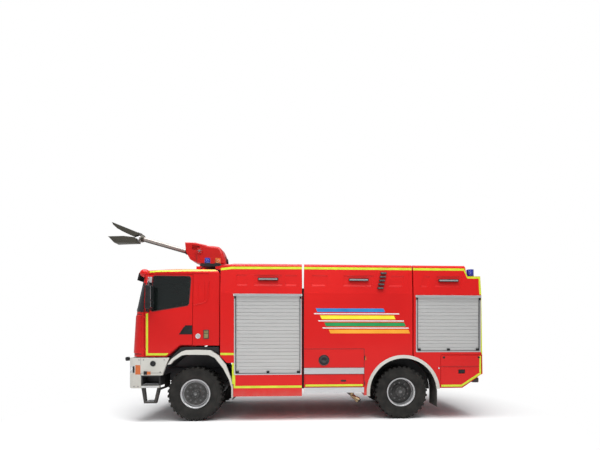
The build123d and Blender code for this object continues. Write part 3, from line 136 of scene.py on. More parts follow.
# %% Floor
REACH = 60.0
FADE_FROM, FADE_TO = 3.8, 6.0
floor_mesh = bpy.data.meshes.new("floor")
floor_mesh.from_pydata([(x * REACH, y * REACH, 0) for x, y in ((-1, -1), (1, -1), (1, 1), (-1, 1))], [],
                       [(0, 1, 2, 3)])
floor = bpy.data.objects.new("floor", floor_mesh)
scene.collection.objects.link(floor)
floor_finish = bpy.data.materials.new("pale_floor")
floor_finish.use_nodes = True
tree = floor_finish.node_tree
lit = tree.nodes["Principled BSDF"]
for socket, value in (("Base Color", (0.96, 0.96, 0.96, 1)), ("Roughness", 0.9), ("Specular IOR Level", 0.0)):
    lit.inputs[socket].default_value = value
place = new_node(tree, "ShaderNodeTexCoord")
away = new_node(tree, "ShaderNodeVectorMath", "LENGTH")
fade = new_node(tree, "ShaderNodeMapRange", From_Min=FADE_FROM, From_Max=FADE_TO)
seen = new_node(tree, "ShaderNodeLightPath")
look = new_node(tree, "ShaderNodeMath", "MAXIMUM")
share = new_node(tree, "ShaderNodeMath", "MULTIPLY")
white = new_node(tree, "ShaderNodeEmission")
mix = new_node(tree, "ShaderNodeMixShader")
join(tree, (place.outputs["Object"], away.inputs[0]), (away.outputs["Value"], fade.inputs["Value"]),
     (seen.outputs["Is Camera Ray"], look.inputs[0]), (seen.outputs["Is Glossy Ray"], look.inputs[1]),
     (fade.outputs["Result"], share.inputs[0]), (look.outputs[0], share.inputs[1]),
     (share.outputs[0], mix.inputs["Fac"]), (lit.outputs["BSDF"], mix.inputs[1]),
     (white.outputs[0], mix.inputs[2]), (mix.outputs[0], tree.nodes["Material Output"].inputs["Surface"]))
floor_mesh.materials.append(floor_finish)
print("floor reaches", REACH, "m each way")

# %% [markdown]
# ## A small kit for finishes
#
# Every finish is one Principled shader. What is the same all over goes straight on its sockets. What changes
# from place to place comes from noise in the piece's own coordinates, so it stays put when a piece moves.

# %% Finish kit
finishes = {}


def shader_of(finish):
    return finish.node_tree.nodes["Principled BSDF"]


def place_of(finish):
    return new_node(finish.node_tree, "ShaderNodeTexCoord").outputs["Object"]


def noise_of(finish, scale, detail=3.0, stretch=(1, 1, 1)):
    """Noise in the piece's own coordinates, 0 to 1."""
    tree = finish.node_tree
    spread = new_node(tree, "ShaderNodeMapping", Scale=stretch)
    noise = new_node(tree, "ShaderNodeTexNoise", Scale=scale, Detail=detail)
    join(tree, (place_of(finish), spread.inputs["Vector"]), (spread.outputs["Vector"], noise.inputs["Vector"]))
    return noise.outputs["Fac"]


def ramp_of(finish, factor, low_colour, high_colour):
    """Turns a factor into a colour between two tones."""
    ramp = new_node(finish.node_tree, "ShaderNodeValToRGB")
    for stop, position, colour in zip(ramp.color_ramp.elements, (0.3, 0.7), (low_colour, high_colour)):
        stop.position = position
        stop.color = (*colour, 1)
    join(finish.node_tree, (factor, ramp.inputs["Fac"]))
    return ramp.outputs["Color"]


def mottle(finish, scale, low_colour, high_colour, stretch=(1, 1, 1)):
    """Lets the colour drift between two near tones."""
    colour = ramp_of(finish, noise_of(finish, scale, 4.0, stretch), low_colour, high_colour)
    join(finish.node_tree, (colour, shader_of(finish).inputs["Base Color"]))
    return colour


def bumps(finish, height, strength, distance):
    """Raises the surface by a height pattern, on top of any before it."""
    tree = finish.node_tree
    bump = new_node(tree, "ShaderNodeBump", Strength=strength, Distance=distance)
    join(tree, (height, bump.inputs["Height"]))
    before = shader_of(finish).inputs["Normal"]
    if before.links:
        join(tree, (before.links[0].from_socket, bump.inputs["Normal"]))
    join(tree, (bump.outputs["Normal"], before))


def waves(finish, directions, scale, strength, distance, distortion=0.0):
    """Fine ridges. Two directions make a mesh or a weave."""
    for direction in directions:
        wave = new_node(finish.node_tree, "ShaderNodeTexWave", Scale=scale, Distortion=distortion)
        wave.bands_direction = direction
        join(finish.node_tree, (place_of(finish), wave.inputs["Vector"]))
        bumps(finish, wave.outputs["Fac"], strength, distance)


def rough_drift(finish, scale, low, high):
    """Lets the gloss drift, as on a surface that hands and rain have touched."""
    drift = new_node(finish.node_tree, "ShaderNodeMapRange", To_Min=low, To_Max=high)
    join(finish.node_tree, (noise_of(finish, scale, 5.0), drift.inputs["Value"]),
         (drift.outputs["Result"], shader_of(finish).inputs["Roughness"]))


def blend(finish, factor, colour, other):
    """Mixes a colour and another, or a plain tone, into the shader."""
    tree = finish.node_tree
    mix = new_node(tree, "ShaderNodeMix")
    mix.data_type = "RGBA"
    join(tree, (factor, mix.inputs["Factor"]), (colour, mix.inputs["A"]),
         (mix.outputs["Result"], shader_of(finish).inputs["Base Color"]))
    if isinstance(other, tuple):
        mix.inputs["B"].default_value = (*other, 1)
    else:
        join(tree, (other, mix.inputs["B"]))


def road_dust(finish, colour, dust, full_at, gone_at):
    """Mixes dust over a colour, thickest low on the piece and broken up by noise."""
    tree = finish.node_tree
    split = new_node(tree, "ShaderNodeSeparateXYZ")
    height = new_node(tree, "ShaderNodeMapRange", From_Min=gone_at, From_Max=full_at)
    share = new_node(tree, "ShaderNodeMath", "MULTIPLY")
    join(tree, (place_of(finish), split.inputs["Vector"]), (split.outputs["Z"], height.inputs["Value"]),
         (height.outputs["Result"], share.inputs[0]), (noise_of(finish, 7.0, 6.0), share.inputs[1]))
    blend(finish, share.outputs["Value"], colour, dust)


def new_finish(name, colour, roughness, metallic=0.0, coat=0.0, tones=None, dust=None, drift=None, grain=None,
               **sockets):
    """A finish. Its tones, dust, gloss drift and grain are what the functions above need."""
    finish = bpy.data.materials.new(name)
    finish.use_nodes = True
    even = {"Base Color": (*colour, 1), "Roughness": roughness, "Metallic": metallic, "Coat Weight": coat,
            "Coat Roughness": 0.06}
    for socket, value in {**even, **sockets}.items():
        shader_of(finish).inputs[socket.replace("_", " ")].default_value = value
    if tones:
        tone = mottle(finish, *tones)
    if dust:
        road_dust(finish, tone, *dust)
    if drift:
        rough_drift(finish, *drift)
    if grain:
        scale, detail, strength, distance, *stretch = grain
        bumps(finish, noise_of(finish, scale, detail, *stretch), strength, distance)
    finishes[name] = finish
    return finish


def scaled(colour, share):
    return tuple(c * share for c in colour)


print("finish kit ready")

# %% [markdown]
# ## Signal red paint
#
# The cab, body and flaps wear a warm luminous red under clear lacquer. Real spray paint is never quite flat:
# a faint orange peel breaks up the reflections, and the colour drifts a little from panel to panel. Low down
# a breath of road dust dulls it. The monitor on the roof is a deeper red.

# %% Red paint
def red_lacquer(name, low_colour, high_colour):
    return new_finish(name, high_colour, 0.35, coat=0.12, tones=(0.8, low_colour, high_colour),
                      dust=((0.32, 0.27, 0.22), 0.20, 0.72), drift=(3.0, 0.28, 0.42),
                      grain=(160.0, 2.0, 0.04, 0.002), Specular_IOR_Level=0.28)


red_paint = red_lacquer("red_paint", (0.58, 0.006, 0.006), (0.66, 0.009, 0.007))
monitor_red = red_lacquer("monitor_red", (0.42, 0.006, 0.005), (0.52, 0.011, 0.007))
print("red finishes:", red_paint.name, monitor_red.name)

# %% [markdown]
# ## Cream paint on the bumper and arch trims
#
# The bumper and the arch trims are moulded plastic painted a pale, slightly grey white. Stone chips and spray
# from the wheels leave fine specks near the bottom.

# %% Cream paint
cream_paint = new_finish("cream_paint", (0.62, 0.61, 0.56), 0.4, coat=0.2,
                         tones=(1.6, (0.57, 0.56, 0.51), (0.65, 0.64, 0.59)),
                         dust=((0.30, 0.27, 0.22), 0.4, 1.2), drift=(5.0, 0.34, 0.5),
                         grain=(220.0, 2.0, 0.05, 0.001))
print("finish:", cream_paint.name)

# %% [markdown]
# ## Aluminium
#
# Extruded aluminium shows fine lines along the way it was drawn. Noise that is squeezed hard in one direction
# makes such lines. The shutter slats are anodised, so they are less like a mirror than the bare trim.

# %% Aluminium
def drawn_metal(name, colour, roughness, stretch, depth, metallic=0.85):
    return new_finish(name, colour, roughness, metallic, tones=(6.0, scaled(colour, 0.88), colour, stretch),
                      drift=(9.0, roughness - 0.08, roughness + 0.08),
                      grain=(60.0, 2.0, depth, 0.0006, stretch))


bare_aluminium = drawn_metal("bare_aluminium", (0.62, 0.63, 0.64), 0.42, (0.3, 6, 30), 0.25)
drawn_metal("shutter_aluminium", (0.55, 0.55, 0.54), 0.5, (0.2, 6, 20), 0.10, 0.35)
blade_metal = drawn_metal("blade_metal", (0.085, 0.080, 0.065), 0.5, (3, 8, 8), 0.15)
barrel_steel = drawn_metal("barrel_steel", (0.36, 0.325, 0.30), 0.42, (0.5, 8, 8), 0.12)
print("drawn metals: 4")

# %% [markdown]
# ## Black parts
#
# Black comes in several kinds on a truck: grained plastic on the mirrors and arches, satin paint on the frame
# and steps, and matt cast iron on the engine. They differ in gloss and grain more than in colour.

# %% Black and dark finishes
def dark_finish(name, colour, roughness, grain_scale, grain, metallic=0.0):
    return new_finish(name, colour, roughness, metallic,
                      tones=(4.0, scaled(colour, 0.75), scaled(colour, 1.25)),
                      dust=((0.13, 0.115, 0.10), 0.1, 1.0), drift=(8.0, roughness - 0.1, roughness + 0.1),
                      grain=(grain_scale, 3.0, grain, 0.0008), Specular_IOR_Level=0.28)


black_plastic = dark_finish("black_plastic", (0.018, 0.018, 0.019), 0.55, 350.0, 0.3)
black_paint = dark_finish("black_paint", (0.020, 0.020, 0.022), 0.38, 120.0, 0.08)
chassis_paint = dark_finish("chassis_paint", (0.035, 0.036, 0.040), 0.5, 90.0, 0.2)
dark_finish("engine_iron", (0.11, 0.115, 0.12), 0.65, 160.0, 0.5, 0.4)
dark_finish("spring_steel", (0.06, 0.06, 0.062), 0.45, 80.0, 0.25, 0.6)
dash_plastic = dark_finish("dash_plastic", (0.035, 0.036, 0.040), 0.6, 420.0, 0.4)
print("dark finishes: 6")

# %% [markdown]
# ## Wheels and tyres
#
# The rims are silver painted steel, greyer where brake dust settles. Tyre rubber is a dull brown black. Its
# sidewall is smoother than its lugs, and dried mud sits in the grain.

# %% Wheel finishes
FRONT_AXLE = Vector((1.926, 0, 0.56))
REAR_AXLE = Vector((-2.374, 0, 0.56))


def wheel_paint(name, axle, dark_radius):
    """Silver at the rim's edge and dark on the disc: the distance from the axle line picks the tone."""
    finish = new_finish(name, (0.50, 0.50, 0.50), 0.38, metallic=0.45, drift=(14.0, 0.34, 0.55),
                        grain=(180.0, 2.0, 0.12, 0.0008))
    tree = finish.node_tree
    flat = new_node(tree, "ShaderNodeMapping", Scale=(1, 0, 1))
    reach = new_node(tree, "ShaderNodeVectorMath", "DISTANCE")
    reach.inputs[1].default_value = axle
    edge = new_node(tree, "ShaderNodeMapRange", From_Min=dark_radius - 0.003, From_Max=dark_radius + 0.003)
    join(tree, (place_of(finish), flat.inputs["Vector"]), (flat.outputs["Vector"], reach.inputs[0]),
         (reach.outputs["Value"], edge.inputs["Value"]))
    silver = ramp_of(finish, noise_of(finish, 9.0, 4.0), (0.42, 0.42, 0.42), (0.56, 0.56, 0.57))
    dark = ramp_of(finish, noise_of(finish, 14.0, 5.0), (0.030, 0.030, 0.030), (0.075, 0.073, 0.070))
    blend(finish, edge.outputs["Result"], dark, silver)
    return finish


wheel_paint("rim_paint_front", FRONT_AXLE, 0.236)
wheel_paint("rim_paint_rear", REAR_AXLE, 0.262)
nut_steel = new_finish("nut_steel", (0.20, 0.20, 0.20), 0.4, metallic=0.7,
                       tones=(40.0, (0.10, 0.10, 0.10), (0.24, 0.24, 0.24)), grain=(300.0, 2.0, 0.2, 0.0004))
tyre_rubber = new_finish("tyre_rubber", (0.020, 0.019, 0.017), 0.8,
                         tones=(5.0, (0.010, 0.0096, 0.009), (0.028, 0.026, 0.023)), drift=(12.0, 0.62, 0.85),
                         grain=(140.0, 5.0, 0.35, 0.0015), Specular_IOR_Level=0.25)
print("wheel finishes: 4")

# %% [markdown]
# ## Glass and lenses
#
# The cab's glass is tinted and mostly mirrors the sky, with a dim view of the seats behind it. The lamps are
# clear, amber, blue and red plastic. They let light in, so a little transmission makes them glow.

# %% Glass and lens finishes
def lens_finish(name, colour, transmission, roughness=0.08):
    return new_finish(name, colour, roughness, coat=0.5, tones=(12.0, scaled(colour, 0.9), colour),
                      grain=(60.0, 2.0, 0.03, 0.0006), Transmission_Weight=transmission, IOR=1.49)


new_finish("cab_glass", (0.07, 0.09, 0.085), 0.02, tones=(2.0, (0.062, 0.082, 0.078), (0.075, 0.095, 0.090)),
           drift=(3.0, 0.015, 0.04), Transmission_Weight=0.90, Specular_IOR_Level=0.3)
lens_finish("clear_lens", (0.88, 0.90, 0.92), 0.6)
amber_lens = lens_finish("amber_lens", (0.80, 0.17, 0.015), 0.25)
blue_lens = lens_finish("blue_lens", (0.02, 0.045, 0.50), 0.25)
lens_finish("red_lens", (0.62, 0.012, 0.012), 0.25)
print("glass and lenses: 5")

# %% [markdown]
# ## Brass and cloth
#
# The hose coupling is brass, worn bright on its lugs and brown in its corners. The seats are dark woven cloth:
# two crossed wave patterns give the weave.

# %% Brass and seat cloth
coupling_brass = new_finish("coupling_brass", (0.42, 0.30, 0.16), 0.38, metallic=0.9,
                            tones=(30.0, (0.20, 0.15, 0.09), (0.46, 0.35, 0.20)), drift=(25.0, 0.25, 0.5),
                            grain=(240.0, 3.0, 0.15, 0.0006))
seat_cloth = new_finish("seat_cloth", (0.05, 0.052, 0.06), 0.85, Sheen_Weight=0.4,
                        tones=(8.0, (0.035, 0.037, 0.045), (0.065, 0.068, 0.08)))
waves(seat_cloth, "XZ", 180.0, 0.35, 0.0008, 0.6)
print("finishes so far:", len(finishes))

# %% [markdown]
# ## Giving each CAD node its finish
#
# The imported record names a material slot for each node. Most slots have the name of their finish, and a short
# table holds the others. The rear rims and the barrel get their own.

# %% Assign finishes
OTHER_NAMES = {"monitor_paint": "monitor_red", "aluminium": "bare_aluminium", "rim_paint": "rim_paint_front",
               "seat_fabric": "seat_cloth"}
OWN_FINISH = {"rim_rear_left": "rim_paint_rear", "rim_rear_right": "rim_paint_rear",
              "monitor_barrel": "barrel_steel"}
slot_of = {part["node"]: part["material_slot"] for part in frame["record"]["subparts"]}
for name, node in frame["nodes"].items():
    finish_name = OWN_FINISH.get(name, OTHER_NAMES.get(slot_of[name], slot_of[name]))
    for material_slot in node.material_slots:
        material_slot.material = finishes[finish_name]
print("dressed nodes:", len(slot_of))

# %% [markdown]
# ## A small kit for shapes
#
# The rest of the truck is built from a few kinds of shape: boxes, plates cut to an outline, turned parts,
# rods and pipes. A piece is a list of steps, each a tool with its values, so that a whole set of like parts
# becomes one piece. Most pieces come in pairs: the right one is the left one mirrored. Edges get a small
# bevel, because no real edge is perfectly sharp, and a bevel catches the light.

# %% Shape kit
OUT, UPWARD, FORWARD, BACKWARD, INWARD = (0, 1, 0), (0, 0, 1), (1, 0, 0), (-1, 0, 0), (0, -1, 0)


def add_box(bm, low, high):
    """Box between two corners."""
    spans = [sorted(pair) for pair in zip(low, high)]
    corners = [bm.verts.new((x, y, z)) for x in spans[0] for y in spans[1] for z in spans[2]]
    for quad in ((0, 1, 3, 2), (4, 6, 7, 5), (0, 4, 5, 1), (2, 3, 7, 6), (0, 2, 6, 4), (1, 5, 7, 3)):
        bm.faces.new([corners[i] for i in quad])


def add_prism(bm, near, far):
    """Solid between two outlines with equal numbers of points."""
    near, far = [[bm.verts.new(spot) for spot in ring] for ring in (near, far)]
    bm.faces.new(near)
    bm.faces.new(list(reversed(far)))
    for i in range(len(near)):
        j = (i + 1) % len(near)
        bm.faces.new((near[i], far[i], far[j], near[j]))


def add_slab(bm, outline, y_low, y_high):
    """Plate with an (x, z) outline, between two values of y."""
    add_prism(bm, [(x, y_high, z) for x, z in outline], [(x, y_low, z) for x, z in outline])


def add_turned(bm, profile, start, toward, sides=32):
    """Turned form: (distance along, radius) points about the line from a start in a direction."""
    along = Vector(toward).normalized()
    side = along.orthogonal().normalized()
    across = along.cross(side)
    rings = []
    for distance, radius in profile:
        middle = Vector(start) + along * distance
        if radius < 1e-6:
            rings.append([bm.verts.new(middle)])
            continue
        ring = []
        for i in range(sides):
            angle = 2 * math.pi * i / sides
            ring.append(bm.verts.new(middle + (side * math.cos(angle) + across * math.sin(angle)) * radius))
        rings.append(ring)
    for ring, after in zip(rings, rings[1:]):
        for i in range(sides):
            j = (i + 1) % sides
            corners = [ring[i % len(ring)], ring[j % len(ring)], after[j % len(after)], after[i % len(after)]]
            corners = [corner for k, corner in enumerate(corners) if corner not in corners[:k]]
            if len(corners) > 2:
                bm.faces.new(corners)


def add_cap(bm, spot, toward, radius, wall, top, tip, sides=20):
    """Bolt head, button or flange: a wall of one radius, then a slope to its flat top."""
    add_turned(bm, [(0, radius), (wall, radius), (top, tip), (top, 0)], spot, toward, sides)


def add_rod(bm, a, b, radius, sides=16):
    """Round rod from one point to another, with a small chamfer at both ends."""
    length = (Vector(b) - Vector(a)).length
    chamfer = min(radius * 0.2, length * 0.2)
    profile = [(0, 0), (0, radius - chamfer), (chamfer, radius), (length - chamfer, radius),
               (length, radius - chamfer), (length, 0)]
    add_turned(bm, profile, a, Vector(b) - Vector(a), sides)


def add_pipe(bm, points, radius, sides=12):
    """Rigid pipe through points, with a ball at each bend."""
    for a, b in zip(points, points[1:]):
        way = Vector(b) - Vector(a)
        add_turned(bm, [(0, radius), (way.length, radius)], a, way, sides)
    for spot in points:
        bmesh.ops.create_uvsphere(bm, u_segments=sides, v_segments=8, radius=radius,
                                  matrix=Matrix.Translation(Vector(spot)))


def circle(u, v, radius, count, start=0.0):
    """Points on a circle round (u, v). The first is a share of one step past the u direction."""
    angles = [2 * math.pi * (i + start) / count for i in range(count)]
    return [(u + radius * math.cos(angle), v + radius * math.sin(angle)) for angle in angles]


def put(name, finish, body, *steps, bevel=0.0, outward=True, mirror=False):
    """A piece that rides on a body. Each step is a tool and the values that it needs."""
    bm = bmesh.new()
    for tool, *values in steps:
        tool(bm, *values)
    if mirror:
        for corner in bm.verts:
            corner.co.y = -corner.co.y
        bmesh.ops.reverse_faces(bm, faces=bm.faces)
    if outward:
        bmesh.ops.recalc_face_normals(bm, faces=bm.faces)
    for face in bm.faces:
        face.smooth = True
    for edge in bm.edges:
        edge.smooth = edge.calc_face_angle(0.0) < math.radians(34)
    mesh = bpy.data.meshes.new(name)
    bm.to_mesh(mesh)
    bm.free()
    mesh.materials.append(finish)
    piece = bpy.data.objects.new(name, mesh)
    scene.collection.objects.link(piece)
    if bevel:
        soft_edge = piece.modifiers.new("edge", "BEVEL")
        soft_edge.width = bevel
        soft_edge.segments = 2
        soft_edge.angle_limit = math.radians(40)
    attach(piece, body)
    return piece


def put_pair(name, finish, body, *steps, **looks):
    """A left-hand piece and its mirror image. The body is one name, or one for each side."""
    left_body, right_body = (body, body) if isinstance(body, str) else body
    put(name + "_left", finish, left_body, *steps, **looks)
    put(name + "_right", finish, right_body, *steps, mirror=True, **looks)


DOORS, MIDDLE_FLAPS, REAR_FLAPS = [(body + "_left", body + "_right")
                                   for body in ("cab_door", "step_flap", "rear_flap")]
SIDES = (("left", 1), ("right", -1))
FA = FRONT_AXLE.x
print("shape kit ready")

# %% [markdown]
# ## Laying tape on painted panels
#
# Tape, seals and painted bands follow the panel under them, even round a corner. So a flat grid of points
# looks at the CAD skin along one direction, stops where it meets the skin, and stays a hair in front of it.
# On the sides, x is given from the front axle and z from the ground, both in millimetres.

# %% Tape tool
skins = {}


def on_skin(point, look, nodes, lift=0.0):
    """Where a look from outside meets the nearest of some CAD nodes, lifted off by a hair."""
    look = Vector(look).normalized()
    start = Vector(point) - look * 3.0
    far = []
    for node in (nodes,) if isinstance(nodes, str) else nodes:
        if node not in skins:
            mesh = frame["nodes"][node].data
            skins[node] = BVHTree.FromPolygons([v.co.copy() for v in mesh.vertices],
                                               [list(p.vertices) for p in mesh.polygons])
        hit = skins[node].ray_cast(start, look)
        if hit[0] is not None:
            far.append(hit[3])
    return start + look * (min(far) - lift) if far else None


def lay(bm, low_line, high_line, nodes, look=INWARD, lift=0.0009, step=0.04, across=3):
    """Tape between two lines with equal numbers of points, laid on CAD nodes."""
    rows = []
    for i in range(len(low_line) - 1):
        a, b = Vector(low_line[i]), Vector(low_line[i + 1])
        c, d = Vector(high_line[i]), Vector(high_line[i + 1])
        count = max(1, math.ceil(max((b - a).length, (d - c).length) / step))
        for k in range(count + (i == len(low_line) - 2)):
            low, high = a.lerp(b, k / count), c.lerp(d, k / count)
            spots = [on_skin(low.lerp(high, j / across), look, nodes, lift) for j in range(across + 1)]
            rows.append([bm.verts.new(spot) if spot is not None else None for spot in spots])
    for row, after in zip(rows, rows[1:]):
        for j in range(across):
            corners = [row[j], after[j], after[j + 1], row[j + 1]]
            if None in corners:
                continue
            face = bm.faces.new(corners)
            face.normal_update()
            if face.normal.dot(Vector(look)) > 0:
                face.normal_flip()


def lay_side(bm, low, high, nodes, step=0.04, lift=0.0009, across=3):
    """Tape on the left side, between two lines in millimetres."""
    low, high = [[(FA + px / 1000, 0, pz / 1000) for px, pz in line] for line in (low, high)]
    lay(bm, low, high, nodes, INWARD, lift, step, across)


def side_spot(px, pz, node, lift=0.0):
    """One point on the left side, given in millimetres."""
    return on_skin((FA + px / 1000, 0, pz / 1000), INWARD, node, lift)


print("tape tool ready")

# %% [markdown]
# ## Fluorescent tape
#
# Fire trucks carry yellow-green reflective tape along their edges. Real tape is a film of tiny glass prisms,
# so it shows a fine diamond mesh and stays bright. Two wave patterns at right angles give that mesh.

# %% Tape finish and stripes
tape_yellow = new_finish("tape_yellow", (0.50, 0.58, 0.02), 0.42, coat=0.2,
                         tones=(6.0, (0.54, 0.64, 0.015), (0.64, 0.74, 0.03)))
waves(tape_yellow, "XZ", 60.0, 0.15, 0.0006)
BODY_TAPE = [
    ([(-530, 3104), (-760, 3134), (-2194, 3144)], [(-530, 3152), (-760, 3184), (-2194, 3194)], "body_front"),
    ([(-2240, 3144), (-4516, 3144)], [(-2240, 3194), (-4516, 3194)], "body_middle"),
    ([(-4543, 3144), (-5640, 3144), (-5712, 2976), (-5958, 2976), (-5958, 2640)],
     [(-4543, 3194), (-5664, 3194), (-5733, 3022), (-5994, 3022), (-6000, 2640)], "body_rear"),
    ([(-5994, 2640), (-5994, 1400), (-5994, 1352)],
     [(-6002, 2640), (-6022, 1400), (-6023, 1352)], "body_rear"),
    ([(-530, 1364), (-802, 1364)], [(-530, 1408), (-802, 1408)], "body_front"),
    ([(-796, 683), (-2192, 683)], [(-796, 730), (-2192, 730)], "skirts_front"),
    ([(-796, 730), (-796, 950)], [(-830, 730), (-830, 950)], "skirts_front"),
]
put_pair("edge_tape_body", tape_yellow, "chassis", *[(lay_side, *strip, 0.15) for strip in BODY_TAPE],
         outward=False)
put_pair("corner_strip", tape_yellow, "chassis",
         (add_box, (FA - 0.802, 1.247, 0.77), (FA - 0.765, 1.2515, 1.2)))
OTHER_TAPE = (
    ("door_tape", DOORS, "door_left",
     [([(928, 2225), (928, 1404), (520, 1404)], [(970, 2205), (970, 1358), (562, 1358)])]),
    ("step_flap_tape", MIDDLE_FLAPS, "flap_middle_left",
     [([(-3464, 706), (-2266, 706)], [(-3464, 748), (-2266, 748)])]),
    ("rear_flap_tape", REAR_FLAPS, "flap_rear_left",
     [([(-5134, 680), (-5580, 680), (-5998, 944)], [(-5134, 724), (-5567, 724), (-5998, 996)]),
      ([(-5960, 985), (-5960, 1330)], [(-5998, 985), (-5998, 1330)])]),
    ("cab_roof_tape", "chassis", "cab_shell",
     [([(940, 3045), (700, 3066), (171, 3084), (-455, 3096)],
       [(940, 3078), (700, 3101), (171, 3121), (-455, 3128)])]),
)
for name, body, node, strips in OTHER_TAPE:
    put_pair(name, tape_yellow, body, *[(lay_side, low, high, node) for low, high in strips], outward=False)
print("strips of tape on each side:", len(BODY_TAPE) + len(OTHER_TAPE) + 2)

# %% [markdown]
# ## Livery on the tank side
#
# The middle panel gets a plain livery of this lesson's own: four coloured stripes, stacked and stepped
# backwards, with thin white ones between them. Their ends lean. They are laid on like the tape.

# %% Livery
FILMS = (("white", (0.80, 0.80, 0.79), (0.76, 0.76, 0.75), (0.83, 0.83, 0.82)),
         ("green", (0.01, 0.30, 0.08), (0.008, 0.26, 0.07), (0.012, 0.32, 0.09)),
         ("orange", (0.88, 0.42, 0.02), (0.84, 0.34, 0.015), (0.92, 0.41, 0.03)),
         ("blue", (0.01, 0.20, 0.48), (0.015, 0.19, 0.50), (0.025, 0.25, 0.60)),
         ("lemon", (0.88, 0.80, 0.03), (0.84, 0.75, 0.02), (0.90, 0.84, 0.05)))
for colour_name, base, low_tone, high_tone in FILMS:
    new_finish("film_" + colour_name, base, 0.4, coat=0.1, tones=(3.0, low_tone, high_tone),
               drift=(8.0, 0.32, 0.48))
# the film, top edge, height, front end and rear end of each stripe, in millimetres
STRIPES = (("blue", 2330, 78, -2480, -3900), ("white", 2228, 22, -2440, -4230),
           ("lemon", 2182, 78, -2570, -4120), ("white", 2080, 22, -2530, -4330),
           ("green", 2034, 78, -2660, -4340), ("white", 1932, 22, -2620, -4430),
           ("orange", 1886, 78, -2750, -4430))
LEAN = 0.45
for number, (film, top, tall, front, back) in enumerate(STRIPES):
    low = [(front - LEAN * tall, top - tall), (back - LEAN * tall, top - tall)]
    put_pair("livery_stripe_%d" % (number + 1), finishes["film_" + film], "chassis",
             (lay_side, low, [(front, top), (back, top)], "body_middle", 0.2), outward=False)
print("livery stripes:", len(STRIPES))

# %% [markdown]
# ## Tyres
#
# These all-wheel tyres have two rows of deep slanted lugs. The CAD tyre has the right lugs but flat facets, so
# the carcass is turned again with a round wall, bead and two raised rings, and each lug gets bevelled edges.
# It has the same radius, width and lug pattern as the CAD tyre, and stands in for it.

# %% Tyres
TYRE_PROFILE = [(-0.115, 0.293), (-0.117, 0.304), (-0.124, 0.309), (-0.136, 0.318), (-0.141, 0.334),
                (-0.147, 0.342), (-0.149, 0.352), (-0.151, 0.355), (-0.156, 0.380), (-0.1585, 0.410),
                (-0.160, 0.440), (-0.160, 0.458), (-0.158, 0.462), (-0.158, 0.470), (-0.160, 0.474),
                (-0.158, 0.500), (-0.153, 0.522), (-0.140, 0.533), (-0.070, 0.537)]
TYRE_PROFILE += [(-y, radius) for y, radius in reversed(TYRE_PROFILE)]
TYRE_Y = 1.025
LUGS = 32
LUG_TURN = math.radians(360 / LUGS)
LUG_WIDTH = 2 * math.pi * 0.534 / LUGS * 0.5
LUG_REACH = (0.160 - 0.014) * math.tan(math.radians(10))
LUG_OUTER, LUG_INNER = (LUG_WIDTH + LUG_REACH) / 2, (LUG_REACH - LUG_WIDTH) / 2


def add_lug(bm, turn, hand):
    """One slanted lug that wraps over the shoulder and down the wall."""
    points = [(-LUG_OUTER, 0.014, 0.522), (-LUG_INNER, 0.014, 0.522), (LUG_OUTER, 0.152, 0.522),
              (LUG_INNER, 0.152, 0.522), (-LUG_OUTER + 0.004, 0.018, 0.5575),
              (-LUG_INNER - 0.004, 0.018, 0.5575), (LUG_OUTER - 0.004, 0.150, 0.556),
              (LUG_INNER + 0.004, 0.150, 0.556),
              (LUG_INNER - 0.002, 0.1605, 0.538), (LUG_OUTER + 0.002, 0.1605, 0.538),
              (LUG_INNER + 0.004, 0.1600, 0.492), (LUG_OUTER - 0.004, 0.1600, 0.492)]
    corners = []
    for point in points:
        spot = Matrix.Rotation(turn, 3, "Y") @ Vector(point)
        corners.append(bm.verts.new((spot.x, spot.y * hand, spot.z)))
    for quad in ((4, 5, 6, 7), (0, 1, 5, 4), (1, 2, 6, 5), (3, 0, 4, 7), (7, 6, 9, 8), (8, 9, 11, 10),
                 (6, 2, 11, 9), (3, 7, 8, 10), (2, 3, 10, 11), (0, 3, 2, 1)):
        bm.faces.new([corners[i] for i in quad])


def add_tyre(bm, axle, side):
    """A whole tyre at its wheel, mirrored for the right side."""
    add_turned(bm, TYRE_PROFILE, (0, 0, 0), OUT, 96)
    for i in range(LUGS):
        add_lug(bm, (i + 0.3) * LUG_TURN, 1)
        add_lug(bm, (i + 0.7) * LUG_TURN, -1)
    for corner in bm.verts:
        corner.co.y = (corner.co.y + TYRE_Y) * side
        corner.co += axle
    if side < 0:
        bmesh.ops.reverse_faces(bm, faces=bm.faces)


for end, axle in (("front", FRONT_AXLE), ("rear", REAR_AXLE)):
    for hand, side in SIDES:
        place_name = end + "_" + hand
        tyre = put("lugged_tyre_" + place_name, tyre_rubber, "wheel_" + place_name, (add_tyre, axle, side),
                   bevel=0.003)
        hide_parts("tyre_" + place_name)
print("tyres: 4, lugs on each:", 2 * LUGS)

# %% [markdown]
# ## Wheel nuts and hubs
#
# Ten nuts hold each wheel. A wheel nut is a hexagon on a wide washer, with the stud's end showing. The hub cap
# has a ring of small screws, and the valve stem stands near the rim's edge.

# %% Wheel nuts, hubs and valves
NUT = (([(0, 0), (0, 0.021), (0.004, 0.021), (0.004, 0)], 20),
       ([(0.003, 0), (0.003, 0.0165), (0.020, 0.0165), (0.024, 0.013), (0.024, 0)], 6),
       ([(0.02, 0), (0.02, 0.009), (0.034, 0.009), (0.036, 0.007), (0.036, 0)], 12))
HUB_SCREW = [(0, 0), (0, 0.008), (0.006, 0.008), (0.008, 0.006), (0.008, 0)]
HUB_CAP = [(0, 0), (0, 0.036), (0.007, 0.034), (0.010, 0.028), (0.010, 0.012), (0.013, 0)]
VALVE = [(0, 0), (0, 0.010), (0.02, 0.009), (0.024, 0.006), (0.05, 0.006), (0.052, 0.008), (0.064, 0.008),
         (0.066, 0)]
